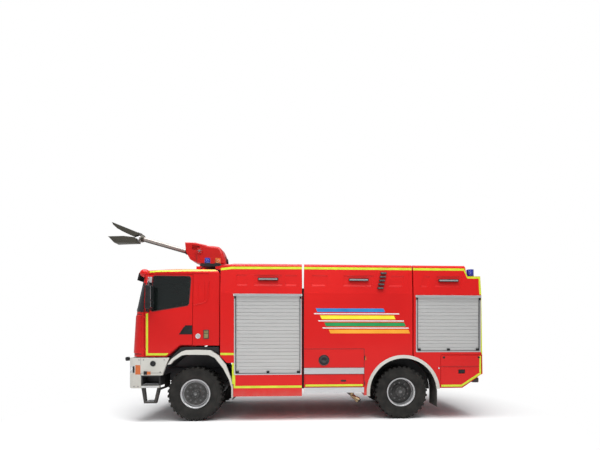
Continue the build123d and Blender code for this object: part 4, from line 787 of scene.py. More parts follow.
# the axle, face of the disc, circle of nuts, face of the hub, circle of screws and foot of the valve
WHEEL_FACES = (("front", FRONT_AXLE, 1.125, 0.168, 1.152, 0.070, 1.078),
               ("rear", REAR_AXLE, 1.0, 0.182, 1.094, 0.095, 1.02))
for end, axle, face_y, nut_circle, hub_y, screw_circle, valve_y in WHEEL_FACES:
    for hand, side in SIDES:
        place_name, outside = end + "_" + hand, (0, side, 0)
        put("wheel_nuts_" + place_name, nut_steel, "wheel_" + place_name,
            *[(add_turned, profile, (x, face_y * side, z), outside, sides)
              for x, z in circle(axle.x, axle.z, nut_circle, 10, 0.5) for profile, sides in NUT],
            *[(add_turned, HUB_SCREW, (x, hub_y * side, z), outside, 6)
              for x, z in circle(axle.x, axle.z, screw_circle, 8)],
            (add_turned, HUB_CAP, (axle.x, hub_y * side, axle.z), outside), bevel=0.001)
        put("tyre_valve_" + place_name, black_plastic, "wheel_" + place_name,
            (add_turned, VALVE, (axle.x - 0.243, valve_y * side, axle.z), outside, 14))
print("wheel nuts: 40")

# %% [markdown]
# ## Window seals, pillar covers and wipers
#
# The door windows sit in black rubber, and the pillar between the door window and the windscreen is black too,
# so that the glass reads as one dark band. Seals are laid along the outlines as tape was.

# %% Rubber seals and pillar covers
rubber_seal = new_finish("rubber_seal", (0.012, 0.012, 0.013), 0.6, grain=(400.0, 2.0, 0.15, 0.0004),
                         tones=(20.0, (0.009, 0.009, 0.010), (0.018, 0.018, 0.019)))
gloss_black = new_finish("gloss_black", (0.010, 0.010, 0.012), 0.18, coat=0.3, drift=(6.0, 0.12, 0.26),
                         tones=(3.0, (0.007, 0.007, 0.009), (0.014, 0.014, 0.016)))
WINDOW = [(88, 2975), (125, 2389), (885, 2254), (839, 2979)]
WINDOW_ROUND = 45


def round_outline(outline, grow):
    """Closed line round an outline with rounded corners, at a distance from it."""
    line = []
    for i, corner in enumerate(outline):
        corner = Vector(corner)
        beside = outline[i - 1], outline[i - len(outline) + 1]
        ways = [(Vector(other) - corner).normalized() for other in beside]
        bend = ways[0].angle(ways[1]) / 2
        centre = corner + (ways[0] + ways[1]).normalized() * WINDOW_ROUND / math.sin(bend)
        start, end = [(corner + way * WINDOW_ROUND / math.tan(bend) - centre).normalized() for way in ways]
        line += [tuple(centre + start.lerp(end, k / 6).normalized() * (WINDOW_ROUND + grow)) for k in range(7)]
    return line + line[:1]


put_pair("window_seal", rubber_seal, DOORS,
         (lay_side, round_outline(WINDOW, 1), round_outline(WINDOW, 15), "door_left", 0.1, 0.002, 2),
         outward=False)
for name, body, node, low, high in (
        ("pillar_cover_door", DOORS, "door_left", [(905, 2258), (858, 2842)], [(994, 2245), (994, 2842)]),
        ("pillar_cover_cab", "chassis", "cab_shell", [(1012, 2245), (1012, 2842)],
         [(1085, 2232), (1030, 2842)])):
    put_pair(name, gloss_black, body, (lay_side, low, high, node, 0.04, 0.0032), outward=False)
print("window seals and pillar covers on")

# %% Windscreen seal and wipers
SCREEN_LOW, SCREEN_HIGH = 1.095, 1.060
SCREEN_FOOT, SCREEN_TOP, SCREEN_ROUND = 2.285, 2.950, 0.070


def add_screen_seal(bm, grow, radius):
    """Pipe on the cab skin round the windscreen's opening."""
    ring = []
    for side, half, level, turn in ((1, SCREEN_LOW, SCREEN_FOOT + SCREEN_ROUND, -90),
                                    (1, SCREEN_HIGH, SCREEN_TOP - SCREEN_ROUND, 0),
                                    (-1, SCREEN_HIGH, SCREEN_TOP - SCREEN_ROUND, 90),
                                    (-1, SCREEN_LOW, SCREEN_FOOT + SCREEN_ROUND, 180)):
        for k in range(7):
            angle = math.radians(turn + 15 * k)
            ring.append(Vector((3.0, side * (half - SCREEN_ROUND) + (SCREEN_ROUND + grow) * math.cos(angle),
                                level + (SCREEN_ROUND + grow) * math.sin(angle))))
    path = []
    for a, b in zip(ring, ring[1:] + ring[:1]):
        pieces = max(1, round((b - a).length / 0.10))
        path += [on_skin(a.lerp(b, k / pieces), BACKWARD, "cab_shell") for k in range(pieces)]
    path = [spot for spot in path if spot is not None]
    add_pipe(bm, path + path[:1], radius, 8)


def add_wiper(bm, base_y, tip_y):
    """Wiper with its pivot on the cab, an arm and a blade on the glass."""
    both = ("cab_shell", "windscreen")
    foot = on_skin((3.0, base_y, 2.235), BACKWARD, "cab_shell")
    joint = on_skin((3.0, (base_y + tip_y) / 2, 2.335), BACKWARD, both, 0.030)
    low = on_skin((3.0, base_y - 0.02, 2.315), BACKWARD, both, 0.010)
    high = on_skin((3.0, tip_y, 2.355), BACKWARD, both, 0.010)
    add_rod(bm, foot, foot + Vector((0.045, 0, 0.004)), 0.020)
    add_rod(bm, foot + Vector((0.035, 0, 0)), joint, 0.009)
    add_rod(bm, joint, joint - Vector((0.022, 0, 0)), 0.011)
    add_rod(bm, low, high, 0.007)


put("windscreen_seal", rubber_seal, "chassis",
    (add_screen_seal, 0.005, 0.010), (add_screen_seal, 0.020, 0.005))
put("wipers", black_plastic, "chassis", (add_wiper, 0.78, 0.16), (add_wiper, -0.02, -0.66), bevel=0.001)
print("windscreen seal and wipers on")

# %% [markdown]
# ## Mirrors, pillar plate and door details
#
# The mirror glass faces the rear. It is a thin silvered plate in a black housing, split into a tall mirror and
# a wide-angle one below. A pale plate with four screws carries the upper mirror arm.

# %% Mirrors and door details
silvered = new_finish("silvered_glass", (0.80, 0.82, 0.83), 0.05, metallic=1.0, drift=(3.0, 0.03, 0.08))
pale_metal = new_finish("pale_metal", (0.62, 0.62, 0.62), 0.35, metallic=0.5, drift=(10.0, 0.28, 0.45),
                        tones=(12.0, (0.52, 0.52, 0.53), (0.68, 0.68, 0.68)))
olive_cap = new_finish("olive_cap", (0.20, 0.17, 0.06), 0.45,
                       tones=(15.0, (0.16, 0.13, 0.05), (0.26, 0.22, 0.09)))


def add_pod(bm, centre, radii):
    """Ball that is longer one way than another."""
    bmesh.ops.create_uvsphere(bm, u_segments=40, v_segments=24, radius=1.0)
    for corner in bm.verts:
        corner.co = [middle + share * radius for middle, share, radius in zip(centre, corner.co, radii)]


put_pair("mirror_glass", silvered, DOORS,
         *[(add_box, (FA + 0.7865, 1.300, low), (FA + 0.7905, 1.455, high))
           for low, high in ((2.318, 2.455), (2.475, 2.745))], bevel=0.006)
put_pair("mirror_trim", black_plastic, DOORS,
         *[(add_box, (FA + 0.815, 1.4785, z - 0.004), (FA + 0.865, 1.4800, z + 0.004))
           for z in (2.40, 2.53, 2.66)],
         (add_rod, (FA + 0.84, 1.345, 2.768), (FA + 0.84, 1.345, 2.7755), 0.024), bevel=0.0015)
put_pair("mirror_foot_plate", pale_metal, DOORS,
         (lay_side, [(868, 2845), (862, 2962)], [(950, 2845), (936, 2962)], "door_left", 0.04, 0.004),
         *[(add_cap, side_spot(px, pz, "door_left", 0.003), OUT, 0.009, 0.005, 0.007, 0.006, 6)
           for px, pz in ((885, 2862), (932, 2862), (880, 2945), (922, 2945))], outward=False)
put_pair("door_handle_bar", black_plastic, DOORS,
         (add_turned, [(0, 0), (0, 0.013), (0.004, 0.013), (0.005, 0.010), (0.003, 0.008), (0.003, 0)],
          (FA + 0.075, 1.208, 1.835), OUT, 24),
         (add_slab, [(FA + 0.09, 1.945), (FA + 0.21, 1.945), (FA + 0.275, 1.845), (FA + 0.262, 1.836),
                     (FA + 0.20, 1.928), (FA + 0.09, 1.928)], 1.2085, 1.2245), bevel=0.003)
put_pair("round_side_cap", pale_metal, "chassis",
         (add_turned, [(0, 0.052), (0.006, 0.052), (0.009, 0.048), (0.009, 0.040), (0.006, 0.038), (0.006, 0)],
          (FA - 0.069, 1.2152, 1.751), OUT, 40),
         (add_box, (FA - 0.099, 1.2205, 1.746), (FA - 0.039, 1.2255, 1.756)), bevel=0.001)
put_pair("socket_frame", dash_plastic, "chassis",
         (add_box, (FA - 0.290, 1.2150, 1.697), (FA - 0.180, 1.2230, 1.881)), bevel=0.004)
put_pair("socket_lids", olive_cap, "chassis",
         *[(add_box, (FA - 0.277, 1.2220, low), (FA - 0.193, 1.2270, high))
           for low, high in ((1.712, 1.800), (1.810, 1.866))], bevel=0.004)
put_pair("roof_corner_pod", red_paint, "chassis", (add_pod, (FA + 1.062, 1.03, 3.058), (0.100, 0.090, 0.085)))
print("cab details on")

# %% [markdown]
# ## Bumper details
#
# Each headlamp holds two round lamps: a chromed bowl and a bulb cap in a black ring. The corner lamps are
# ribbed, the side marker has a dark half, and a small spray nozzle sits in a round hole. The steps have raised
# studs.

# %% Lamps on the bumper
chrome = new_finish("chrome", (0.78, 0.79, 0.80), 0.12, metallic=1.0, drift=(9.0, 0.08, 0.18))
LAMP_RING = [(0, 0.060), (0.006, 0.060), (0.008, 0.057), (0.008, 0.052), (0, 0.050)]
LAMP_BOWL = [(0, 0.050), (0.003, 0.050), (0.003, 0.040), (0.001, 0.024), (0.005, 0.020), (0.007, 0.010),
             (0.007, 0)]
SPRAY_HOLE = [(0, 0.056), (0.006, 0.056), (0.008, 0.052), (0.006, 0.046), (0.002, 0.044), (0.001, 0.030),
              (0.004, 0.028), (0.010, 0.016), (0.010, 0.008), (0.004, 0)]
lamp_spots = [on_skin((3.5, y, 1.078), BACKWARD, "headlamps", 0.001) for y in (0.865, 0.995)]
put_pair("lamp_rings", black_plastic, "chassis",
         *[(add_turned, LAMP_RING, spot, FORWARD, 40) for spot in lamp_spots])
put_pair("lamp_bowls", chrome, "chassis",
         *[(add_turned, LAMP_BOWL, spot, FORWARD, 40) for spot in lamp_spots])
put_pair("corner_lamp_ribs", amber_lens, "chassis",
         *[(lay_side, [(1078, z), (1165, z)], [(1078, z + 6), (1165, z + 6)], "amber_lamps", 0.03, 0.002, 1)
           for z in (1000 + 23.5 * i for i in range(7))], outward=False)
put_pair("side_marker_shade", black_plastic, "chassis",
         (add_box, (FA + 0.937, 1.2355, 0.968), (FA + 1.003, 1.2485, 1.038)), bevel=0.002)
# A black sheet on the side of the headlamps stands for their dark housing and also paints the shade of the
# recess beside them.
put_pair("lamp_side_housing_shade", black_plastic, "chassis",
         (lay_side, [(1188, 1010), (1230, 1010)], [(1188, 1140), (1230, 1140)], ("bumper", "headlamps"), 0.04,
          0.0012), outward=False)
put_pair("side_spray_nozzle", black_plastic, "chassis",
         (add_turned, SPRAY_HOLE, (FA + 0.822, 1.2355, 1.193), OUT, 36))
print("lamps dressed")

# %% Bumper seams, bolts and treads
BOLT_HEAD = [(0, 0.011), (0.003, 0.011), (0.005, 0.008), (0.003, 0.005), (0.003, 0)]


def add_studs(bm, low, high, rows, columns, radius, tall):
    """Raised studs in staggered rows on a level tread."""
    for i in range(rows):
        for j in range(columns):
            x = low[0] + (high[0] - low[0]) * (i + 0.5) / rows
            y = low[1] + (high[1] - low[1]) * (j + 0.5 + 0.25 * (-1) ** i) / columns
            add_turned(bm, [(0, radius), (tall, radius * 0.6), (tall, 0)], (x, y, low[2]), UPWARD, 8)


BUMPER_SEAMS = (([(1060, 955), (1060, 1000), (640, 1000)], [(1066, 955), (1066, 1006), (640, 1006)]),
                ([(1062, 1176), (1062, 1305)], [(1067, 1176), (1067, 1305)]))
put_pair("bumper_seams", rubber_seal, "chassis",
         *[(lay_side, low, high, "bumper", 0.05, 0.0008, 1) for low, high in BUMPER_SEAMS], outward=False)
put_pair("bumper_bolts", nut_steel, "chassis",
         *[(add_turned, BOLT_HEAD, side_spot(px, pz, "bumper"), OUT, 12) for px, pz in
           ((1100, 1270), (1010, 1270), (600, 1270), (680, 1020), (1120, 730), (1200, 730))])
put_pair("step_treads", bare_aluminium, "chassis",
         (add_box, (FA + 0.712, 1.005, 0.7755), (FA + 1.024, 1.222, 0.779)),
         (add_studs, (FA + 0.725, 1.02, 0.779), (FA + 1.012, 1.21, 0.779), 10, 6, 0.008, 0.003),
         (add_box, (FA + 0.812, 1.045, 0.4255), (FA + 0.968, 1.212, 0.429)),
         (add_studs, (FA + 0.82, 1.055, 0.429), (FA + 0.96, 1.205, 0.429), 6, 5, 0.008, 0.003), bevel=0.001)
put_pair("sill_strip", pale_metal, "chassis",
         (lay_side, [(715, 706), (1056, 706)], [(715, 738), (1056, 738)], "bumper", 0.04, 0.001),
         outward=False)
print("bumper details on")

# %% [markdown]
# ## Grille mesh
#
# Behind the black bars on the cab's nose a dark mesh keeps stones out. It is a sheet just in front of the cab
# wall, and its finish has two fine wave patterns for the wires.

# %% Grille mesh
mesh_black = new_finish("mesh_black", (0.012, 0.012, 0.012), 0.5, metallic=0.4)
waves(mesh_black, "YZ", 45.0, 0.8, 0.002)
low, high = [[(3.5, -0.80, z), (3.5, 0.80, z)] for z in (1.485, 2.13)]
put("grille_mesh", mesh_black, "chassis",
    (lay, low, high, "cab_shell", BACKWARD, 0.002, 0.05, 8), outward=False)
print("grille mesh on")

# %% [markdown]
# ## Body details
#
# Roller shutters run in guides with a brush seal on each side, and plastic caps close the guides at the top.
# The flaps have sunk paddle latches, the side lamps have pale lenses, and the grip plates have a rough tread.

# %% Shutter seals and caps
SHUTTER_SPOTS = ((FA - 2.188, FA - 0.805, 0.955, 2.618), (FA - 5.990, FA - 4.593, 1.413, 2.608))
brushes, caps = [], []
for x_rear, x_front, z_low, z_high in SHUTTER_SPOTS:
    for x, out in ((x_rear + 0.030, 1), (x_front - 0.030, -1)):
        brushes.append((add_box, (x - out * 0.004, 1.235, z_low + 0.030),
                        (x + out * 0.010, 1.2528, z_high - 0.046)))
        caps.append((add_box, (x - out * 0.026, 1.2515, z_high - 0.094),
                     (x + out * 0.006, 1.2620, z_high - 0.048)))
    brushes.append((add_box, (x_rear + 0.034, 1.235, z_low + 0.024),
                    (x_front - 0.034, 1.2524, z_low + 0.033)))
    for share in (0.05, 0.5, 0.95):
        x = x_rear + share * (x_front - x_rear)
        caps.append((add_box, (x - 0.018, 1.2655, z_low + 0.040), (x + 0.018, 1.2735, z_low + 0.058)))
        caps.append((add_rod, (x, 1.262, z_low + 0.066), (x, 1.2725, z_low + 0.066), 0.007, 12))
put_pair("shutter_brushes", rubber_seal, "chassis", *brushes)
put_pair("guide_caps", black_plastic, "chassis", *caps, bevel=0.002)
print("shutter seals and caps on")

# %% Latches, reflector and filler
put_pair("step_flap_latch", black_plastic, MIDDLE_FLAPS,
         (add_box, (FA - 3.112, 1.2435, 0.804), (FA - 3.003, 1.2475, 0.838)),
         (add_box, (FA - 3.085, 1.2470, 0.811), (FA - 3.020, 1.2505, 0.829)), bevel=0.0015)
put_pair("rear_flap_latch", black_plastic, REAR_FLAPS,
         (add_box, (FA - 5.648, 1.2345, 0.960), (FA - 5.510, 1.2400, 1.040)),
         (add_box, (FA - 5.636, 1.2390, 0.985), (FA - 5.522, 1.2490, 1.030)),
         *[(add_cap, (x, 1.2495, 1.300), OUT, 0.024, 0.005, 0.008, 0.020) for x in (FA - 5.192, FA - 5.948)],
         bevel=0.0015)
spot = side_spot(-3520, 1285, "body_middle")
put_pair("side_reflector", amber_lens, "chassis",
         (add_box, (spot.x - 0.016, spot.y, 1.250), (spot.x + 0.016, spot.y + 0.008, 1.320)), bevel=0.003)
put_pair("rear_lock_button", pale_metal, "chassis",
         (add_cap, side_spot(-5085, 1075, "body_rear"), OUT, 0.017, 0.005, 0.008, 0.012))
FILLER = [(0, 0.112), (0.010, 0.112), (0.014, 0.106), (0.014, 0.088), (0.0125, 0.084), (0.0125, 0.030),
          (0.0150, 0.026), (0.0150, 0)]
put_pair("filler_cover", gloss_black, "chassis",
         (add_turned, FILLER, (FA - 2.652, 1.2502, 1.250), OUT, 48),
         (add_box, (FA - 2.712, 1.2630, 1.243), (FA - 2.592, 1.2700, 1.257)), bevel=0.001)
print("latches and filler on")

# %% Strip lamp lenses, grip treads and rivets
STRIP_LAMPS = ((-1.690, -1.305), (-3.572, -3.184), (-5.495, -5.096))
strip_lens = lens_finish("strip_lens", (0.42, 0.43, 0.43), 0.2, 0.25)
put_pair("strip_lenses", strip_lens, "chassis",
         *[(add_box, (FA + low, 1.2480, 2.913), (FA + high, 1.2545, 2.941)) for low, high in STRIP_LAMPS],
         bevel=0.002)


def skin_at(z):
    """Half width of the leaning upper side at a height."""
    return 1.250 - 0.09565 * (z - 2.640)


def add_grip(bm, i):
    """One tread of the climbing grips, with six raised bars."""
    z, x = 2.755 + i * 0.079, FA - 3.905 + (4 - i) * 0.017
    y = skin_at(z)
    add_box(bm, (x - 0.054, y + 0.0395, z - 0.011), (x + 0.054, y + 0.0425, z + 0.011))
    for k in range(6):
        bar = x - 0.045 + k * 0.018
        add_box(bm, (bar - 0.003, y + 0.042, z - 0.009), (bar + 0.003, y + 0.0445, z + 0.009))


rivet_spots = [(x_rear + 0.05 + (x_front - x_rear - 0.1) * i / 11, 1.2718, z_high - 0.022)
               for x_rear, x_front, z_low, z_high in SHUTTER_SPOTS for i in range(12)]
rivet_spots += [(FA - 2.29 - i * 0.118, 1.2558, 0.600) for i in range(11)]
put_pair("grip_treads", nut_steel, "chassis", *[(add_grip, i) for i in range(5)], bevel=0.0008)
put_pair("rivets", bare_aluminium, "chassis",
         *[(add_turned, [(0, 0.006), (0.0016, 0.005), (0.0024, 0)], spot, OUT, 8) for spot in rivet_spots])
put_pair("band_shadow_lines", rubber_seal, "chassis",
         *[(add_box, (FA - 3.489, 1.2500, z), (FA - 2.240, 1.2512, z + 0.005)) for z in (0.9600, 1.0915)])
print("rivets on each side:", len(rivet_spots))

# %% [markdown]
# ## Water monitor details
#
# The roof monitor is driven by hydraulics. A bolt ring holds the turret, a black collar closes the gap between
# head and barrel, and two thin oil lines run under the barrel to the blades. Pipes run up the turret's back.

# %% Monitor details
TILT = math.radians(15.6)
ALONG = Vector((math.cos(TILT), 0, math.sin(TILT)))
UP = Vector((-math.sin(TILT), 0, math.cos(TILT)))
BREECH = Vector((FA + 0.4196, 0, 3.7156))
MUZZLE = BREECH + ALONG * 1.210
TURRET_X = FA - 0.083
PIVOT_X, PIVOT_Y, PIVOT_Z = FA + 0.150, 0.2720, 3.700


def along_barrel(distance, y=0.0, rise=0.0):
    """Point at a distance from the breech, a little to the side or above the barrel."""
    spot = BREECH + ALONG * distance + UP * rise
    return Vector((spot.x, y, spot.z))


put("bracket_ring_bolts", nut_steel, "chassis",
    *[(add_turned, [(0, 0), (0, 0.010), (0.0, 0.010), (-0.001, 0.010), (-0.001, 0)], (x, y, 3.3995), UPWARD, 6)
      for x, y in circle(TURRET_X, 0, 0.262, 16, 0.5)],
    *[(add_rod, (*foot, 3.370), (*tip, 3.370), 0.009, 6)
      for foot, tip in zip(circle(TURRET_X, 0, 0.2855, 20), circle(TURRET_X, 0, 0.2935, 20))])
put_pair("pivot_bolts", nut_steel, "turret",
         *[(add_cap, (x, PIVOT_Y, z), OUT, 0.008, 0.006, 0.007, 0.006, 6)
           for x, z in circle(PIVOT_X, PIVOT_Z, 0.050, 6)],
         (add_cap, (PIVOT_X, PIVOT_Y, PIVOT_Z), OUT, 0.026, 0.005, 0.008, 0.018, 28))
put("barrel_collar", black_paint, "head",
    (add_turned, [(0, 0.0465), (0, 0.072), (0.012, 0.076), (0.030, 0.076), (0.040, 0.066), (0.052, 0.064),
                  (0.056, 0.0465)], along_barrel(0.060), ALONG, 40))
put("barrel_bands", barrel_steel, "head",
    *[(add_turned, [(0, 0.0462), (0, 0.0490), (0.018, 0.0490), (0.018, 0.0462)],
       along_barrel(distance), ALONG, 36) for distance in (0.46, 0.80)], bevel=0.001)
put("barrel_lines", blade_metal, "head",
    *[(add_pipe, [along_barrel(0.10, y, -0.052), along_barrel(1.115, y, -0.052)], 0.0065, 10)
      for y in (0.018, -0.018)])
for level_name, level in (("upper", 1), ("lower", -1)):
    eye = MUZZLE + UP * 0.084 * level
    put("blade_pin_" + level_name, nut_steel, level_name + "_blade",
        *[(add_cap, (eye.x, 0.0465 * side, eye.z), (0, side, 0), 0.016, 0.004, 0.006, 0.012, 6)
          for side in (1, -1)])
put("turret_back_pipes", black_paint, "turret",
    *[(add_pipe, [(FA - 0.424, y, 3.452), (FA - 0.436, y, 3.470), (FA - 0.428, y, 3.560),
                  (FA - 0.395, y, 3.600)], 0.010, 10) for y in (0.07, -0.07)],
    (add_rod, (FA - 0.400, 0, 3.490), (FA - 0.442, 0, 3.490), 0.034, 24),
    (add_rod, (FA - 0.436, 0, 3.490), (FA - 0.452, 0, 3.490), 0.020, 20), bevel=0.001)
conduits = []
for y in (0.72, -0.72):
    conduits.append((add_pipe, [(FA - 0.085, y, 3.245), (FA - 0.030, y, 3.240), (FA + 0.010, y, 3.205),
                                (FA + 0.015, y, 3.136)], 0.013, 10))
    conduits.append((add_cap, (FA + 0.015, y, 3.138), UPWARD, 0.030, 0.006, 0.012, 0.018))
put("wing_conduits", black_paint, "chassis", *conduits)
put("muzzle_ring", chrome, "head",
    (add_turned, [(0, 0.0345), (0, 0.043), (0.010, 0.043), (0.014, 0.038), (0.014, 0.0345)],
     along_barrel(1.206), ALONG, 36))
print("monitor details on")

# %% [markdown]
# ## Beacons
#
# A flashing beacon has a black foot, a ribbed lens and a dark cap. The ribs are thin rings that stand just
# proud of the lens and share its colour.

# %% Beacon feet and ribs
BEACONS = (("front_blue", (FA - 0.185, 0.900, 3.275), 0.134, 0.058, blue_lens),
           ("front_amber", (FA - 0.403, 0.900, 3.275), 0.134, 0.058, amber_lens),
           ("rear_blue", (REAR_AXLE.x - 1.545, 1.050, 3.027), 0.165, 0.076, blue_lens))
for place_name, (x, y, z), tall, radius, finish in BEACONS:
    put_pair("beacon_foot_" + place_name, black_plastic, "chassis",
             (add_turned, [(0, radius), (0, radius + 0.012), (0.012, radius + 0.012), (0.018, radius + 0.003),
                           (0.026, radius + 0.003), (0.026, radius)], (x, y, z), UPWARD, 40))
    put_pair("beacon_ribs_" + place_name, finish, "chassis",
             *[(add_turned, [(0, radius), (0.004, radius + 0.002), (0.008, radius)],
                (x, y, z + 0.036 + i * (tall - 0.05) / 5), UPWARD, 40) for i in range(5)])
print("beacons dressed:", 2 * len(BEACONS))

# %% [markdown]
# ## Roof, rear wall and underside
#
# From above there is a tread plate in each sunk walkway, two tank lids with handles, and vents. On the rear
# wall tape runs up both edges. Underneath, U-bolts hold the springs to the axles, and brake chambers sit
# beside the wheels.

# %% Tread plate finish and roof
tread_plate = new_finish("tread_plate", (0.50, 0.51, 0.52), 0.4, metallic=0.8,
                         tones=(30.0, (0.44, 0.45, 0.46), (0.52, 0.53, 0.54)))
waves(tread_plate, ("DIAGONAL",), 9.0, 0.5, 0.002)
DECK = 3.2145
WALKWAYS = ((FA - 2.190, FA - 0.910), (FA - 4.512, FA - 2.244), (FA - 5.595, FA - 4.548))
put("roof_tread_plates", tread_plate, "chassis",
    *[(add_box, (low, -1.085, 3.2110), (high, 1.085, DECK)) for low, high in WALKWAYS], bevel=0.001)
LID = [(0, 0.27), (0.012, 0.27), (0.020, 0.262), (0.026, 0.20), (0.030, 0)]
VENT = [(0, 0.050), (0.012, 0.050), (0.012, 0.075), (0.022, 0.080), (0.034, 0.060), (0.036, 0)]


def add_lid_fittings(bm, x):
    """Ring, handle and hinge of a tank lid."""
    add_turned(bm, [(0, 0.27), (0, 0.292), (0.008, 0.292), (0.010, 0.272)], (x, 0, DECK), UPWARD, 56)
    add_pipe(bm, [(x + 0.10, y, z) for y, z in ((-0.07, 3.238), (-0.07, 3.252), (0.07, 3.252), (0.07, 3.238))],
             0.006, 10)
    add_box(bm, (x - 0.31, -0.06, DECK), (x - 0.24, 0.06, 3.2400))


put("tank_lids", pale_metal, "chassis",
    *[(add_turned, LID, (x, 0, DECK), UPWARD, 56) for x in (FA - 2.95, FA - 3.85)])
put("tank_lid_fittings", bare_aluminium, "chassis", *[(add_lid_fittings, x) for x in (FA - 2.95, FA - 3.85)],
    bevel=0.001)
put("roof_vents", pale_metal, "chassis",
    *[(add_turned, VENT, (x, y, DECK), UPWARD) for x in (FA - 1.30, FA - 5.10) for y in (0.45, -0.45)])
print("roof dressed")

# %% Rear wall
REAR_TAPE = [[[(-6.0, y + half, z) for z in (1.00, 2.60)] for half in (-0.020, 0.020)]
             for y in (1.205, -1.205)]
REAR_TAPE.append([[(-6.0, -1.05, z), (-6.0, 1.05, z)] for z in (2.955, 3.000)])
put("rear_wall_tape", tape_yellow, "chassis",
    *[(lay, low, high, "body_rear", FORWARD, 0.0012, 0.2) for low, high in REAR_TAPE], outward=False)


def add_rail(bm, y):
    """Grab rail that follows the rear wall."""
    low, high = [on_skin((-6.0, y, z), FORWARD, "body_rear").x for z in (1.5, 2.3)]
    add_pipe(bm, [(low, y, 1.45), (low - 0.055, y, 1.47), (high - 0.055, y, 2.33), (high, y, 2.35)], 0.014, 14)


put("rear_grab_rails", bare_aluminium, "chassis", (add_rail, 0.74), (add_rail, -0.74))
print("rear wall dressed")

# %% Underside
CHAMBER = [(0, 0), (0, 0.030), (0.02, 0.062), (0.06, 0.066), (0.066, 0.070), (0.074, 0.070), (0.08, 0.064),
           (0.12, 0.060), (0.135, 0.040), (0.135, 0)]


def add_spring_bolts(bm, x, side):
    """Two U-bolts over an axle, with the plate under them."""
    for bolt_x in (x - 0.095, x + 0.095):
        for y in (0.352, 0.433):
            add_rod(bm, (bolt_x, y * side, 0.440), (bolt_x, y * side, 0.700), 0.009, 10)
        add_rod(bm, (bolt_x, 0.343 * side, 0.697), (bolt_x, 0.442 * side, 0.697), 0.009, 10)
    add_box(bm, (x - 0.115, 0.340 * side, 0.462), (x + 0.115, 0.446 * side, 0.480))


def add_chamber(bm, x, out, side):
    """Brake chamber with the bracket that holds it."""
    add_turned(bm, CHAMBER, (x + 0.10 * out, 0.600 * side, 0.600), (out, 0, 0.15), 28)
    add_box(bm, (x - 0.02 + 0.07 * out, 0.585 * side - 0.02, 0.560),
            (x + 0.02 + 0.07 * out, 0.585 * side + 0.02, 0.640))


put("spring_bolts", nut_steel, "chassis",
    *[(add_spring_bolts, axle.x, side) for axle in (FRONT_AXLE, REAR_AXLE) for side in (1, -1)], bevel=0.001)
put("brake_chambers", chassis_paint, "chassis",
    *[(add_chamber, axle.x, out, side)
      for axle, out in ((FRONT_AXLE, -1), (REAR_AXLE, 1)) for side in (1, -1)], bevel=0.002)
put("axle_cover_bolts", nut_steel, "chassis",
    *[(add_cap, (axle.x - radius * 0.80, y, z), BACKWARD, 0.009, 0.010, 0.012, 0.007, 6)
      for axle, middle, radius in ((FRONT_AXLE, 0.090, 0.185), (REAR_AXLE, 0.0, 0.200))
      for y, z in circle(middle, axle.z, radius * 0.58, 10)])
print("underside dressed")

# %% [markdown]
# ## Hose coupling
#
# The brass coupling has two claw lugs that lock the hose, a raised grip ring with notches, and a black
# rubber cap at its mouth.

# %% Hose coupling
mouth_from, mouth_to = Vector((FA - 3.330, 1.180, 0.440)), Vector((FA - 3.390, 1.225, 0.395))
mouth = (mouth_to - mouth_from).normalized()


def round_mouth(degrees, along, out):
    """Point beside the mouth's axis, at an angle round it."""
    spoke = Matrix.Rotation(math.radians(degrees), 3, mouth) @ mouth.orthogonal().normalized()
    return mouth_from + mouth * along + spoke * out


put("coupling_lugs", coupling_brass, "chassis",
    (add_turned, [(0.030, 0.052), (0.034, 0.058), (0.052, 0.058), (0.056, 0.052)], mouth_from, mouth, 36),
    *[(add_rod, round_mouth(turn, 0.066, 0.040), round_mouth(turn, 0.066, 0.072), 0.014, 12)
      for turn in (20, 200)],
    *[(add_rod, round_mouth(turn, 0.032, 0.056), round_mouth(turn, 0.054, 0.056), 0.004, 8)
      for turn in range(0, 360, 30)],
    (add_turned, [(0, 0.0385), (0, 0.046), (0.012, 0.046), (0.012, 0.0385)],
     (FA - 3.250, 1.120, 0.530), UPWARD, 28), bevel=0.001)
put("coupling_cap", rubber_seal, "chassis",
    (add_turned, [(0, 0), (0, 0.047), (0.010, 0.047), (0.014, 0.040), (0.014, 0)],
     mouth_to - mouth * 0.004, mouth), bevel=0.001)
put("coupling_bracket", black_paint, "chassis",
    (add_box, (FA - 3.300, 1.070, 0.560), (FA - 3.130, 1.180, 0.5740)),
    (add_slab, [(FA - 3.200, 0.565), (FA - 3.120, 0.565), (FA - 3.195, 0.505), (FA - 3.215, 0.505)],
     1.112, 1.128), bevel=0.002)
print("coupling dressed")

# %% [markdown]
# ## Seats
#
# Seats are soft, so the CAD blocks are replaced. Each cushion is a crowned pad: a box with rounded corners,
# divided finely, whose faces swell in the middle and pull in along a sewn channel.

# %% Seats
def add_pad(bm, centre, size, lean, puff, channels):
    """Crowned pad with rounded corners and sewn channels across its width."""
    bmesh.ops.create_cube(bm, size=2.0)
    bmesh.ops.subdivide_edges(bm, edges=bm.edges, cuts=15, use_grid_fill=True)
    turn = Matrix.Rotation(math.radians(lean), 3, "Y")
    for corner in bm.verts:
        round_in = sum(abs(c) ** 6 for c in corner.co) ** (0.8 / 6)
        u, v, w = corner.co / round_in
        swell = 1.0 + puff * (1 - u * u) * (1 - v * v)
        swell -= sum(0.16 * math.exp(-((u - channel) / 0.05) ** 2) for channel in channels)
        wide = 1.0 + 0.03 * (1 - u * u)
        corner.co = turn @ Vector((u * size[0], v * size[1] * wide, w * size[2] * swell)) + Vector(centre)


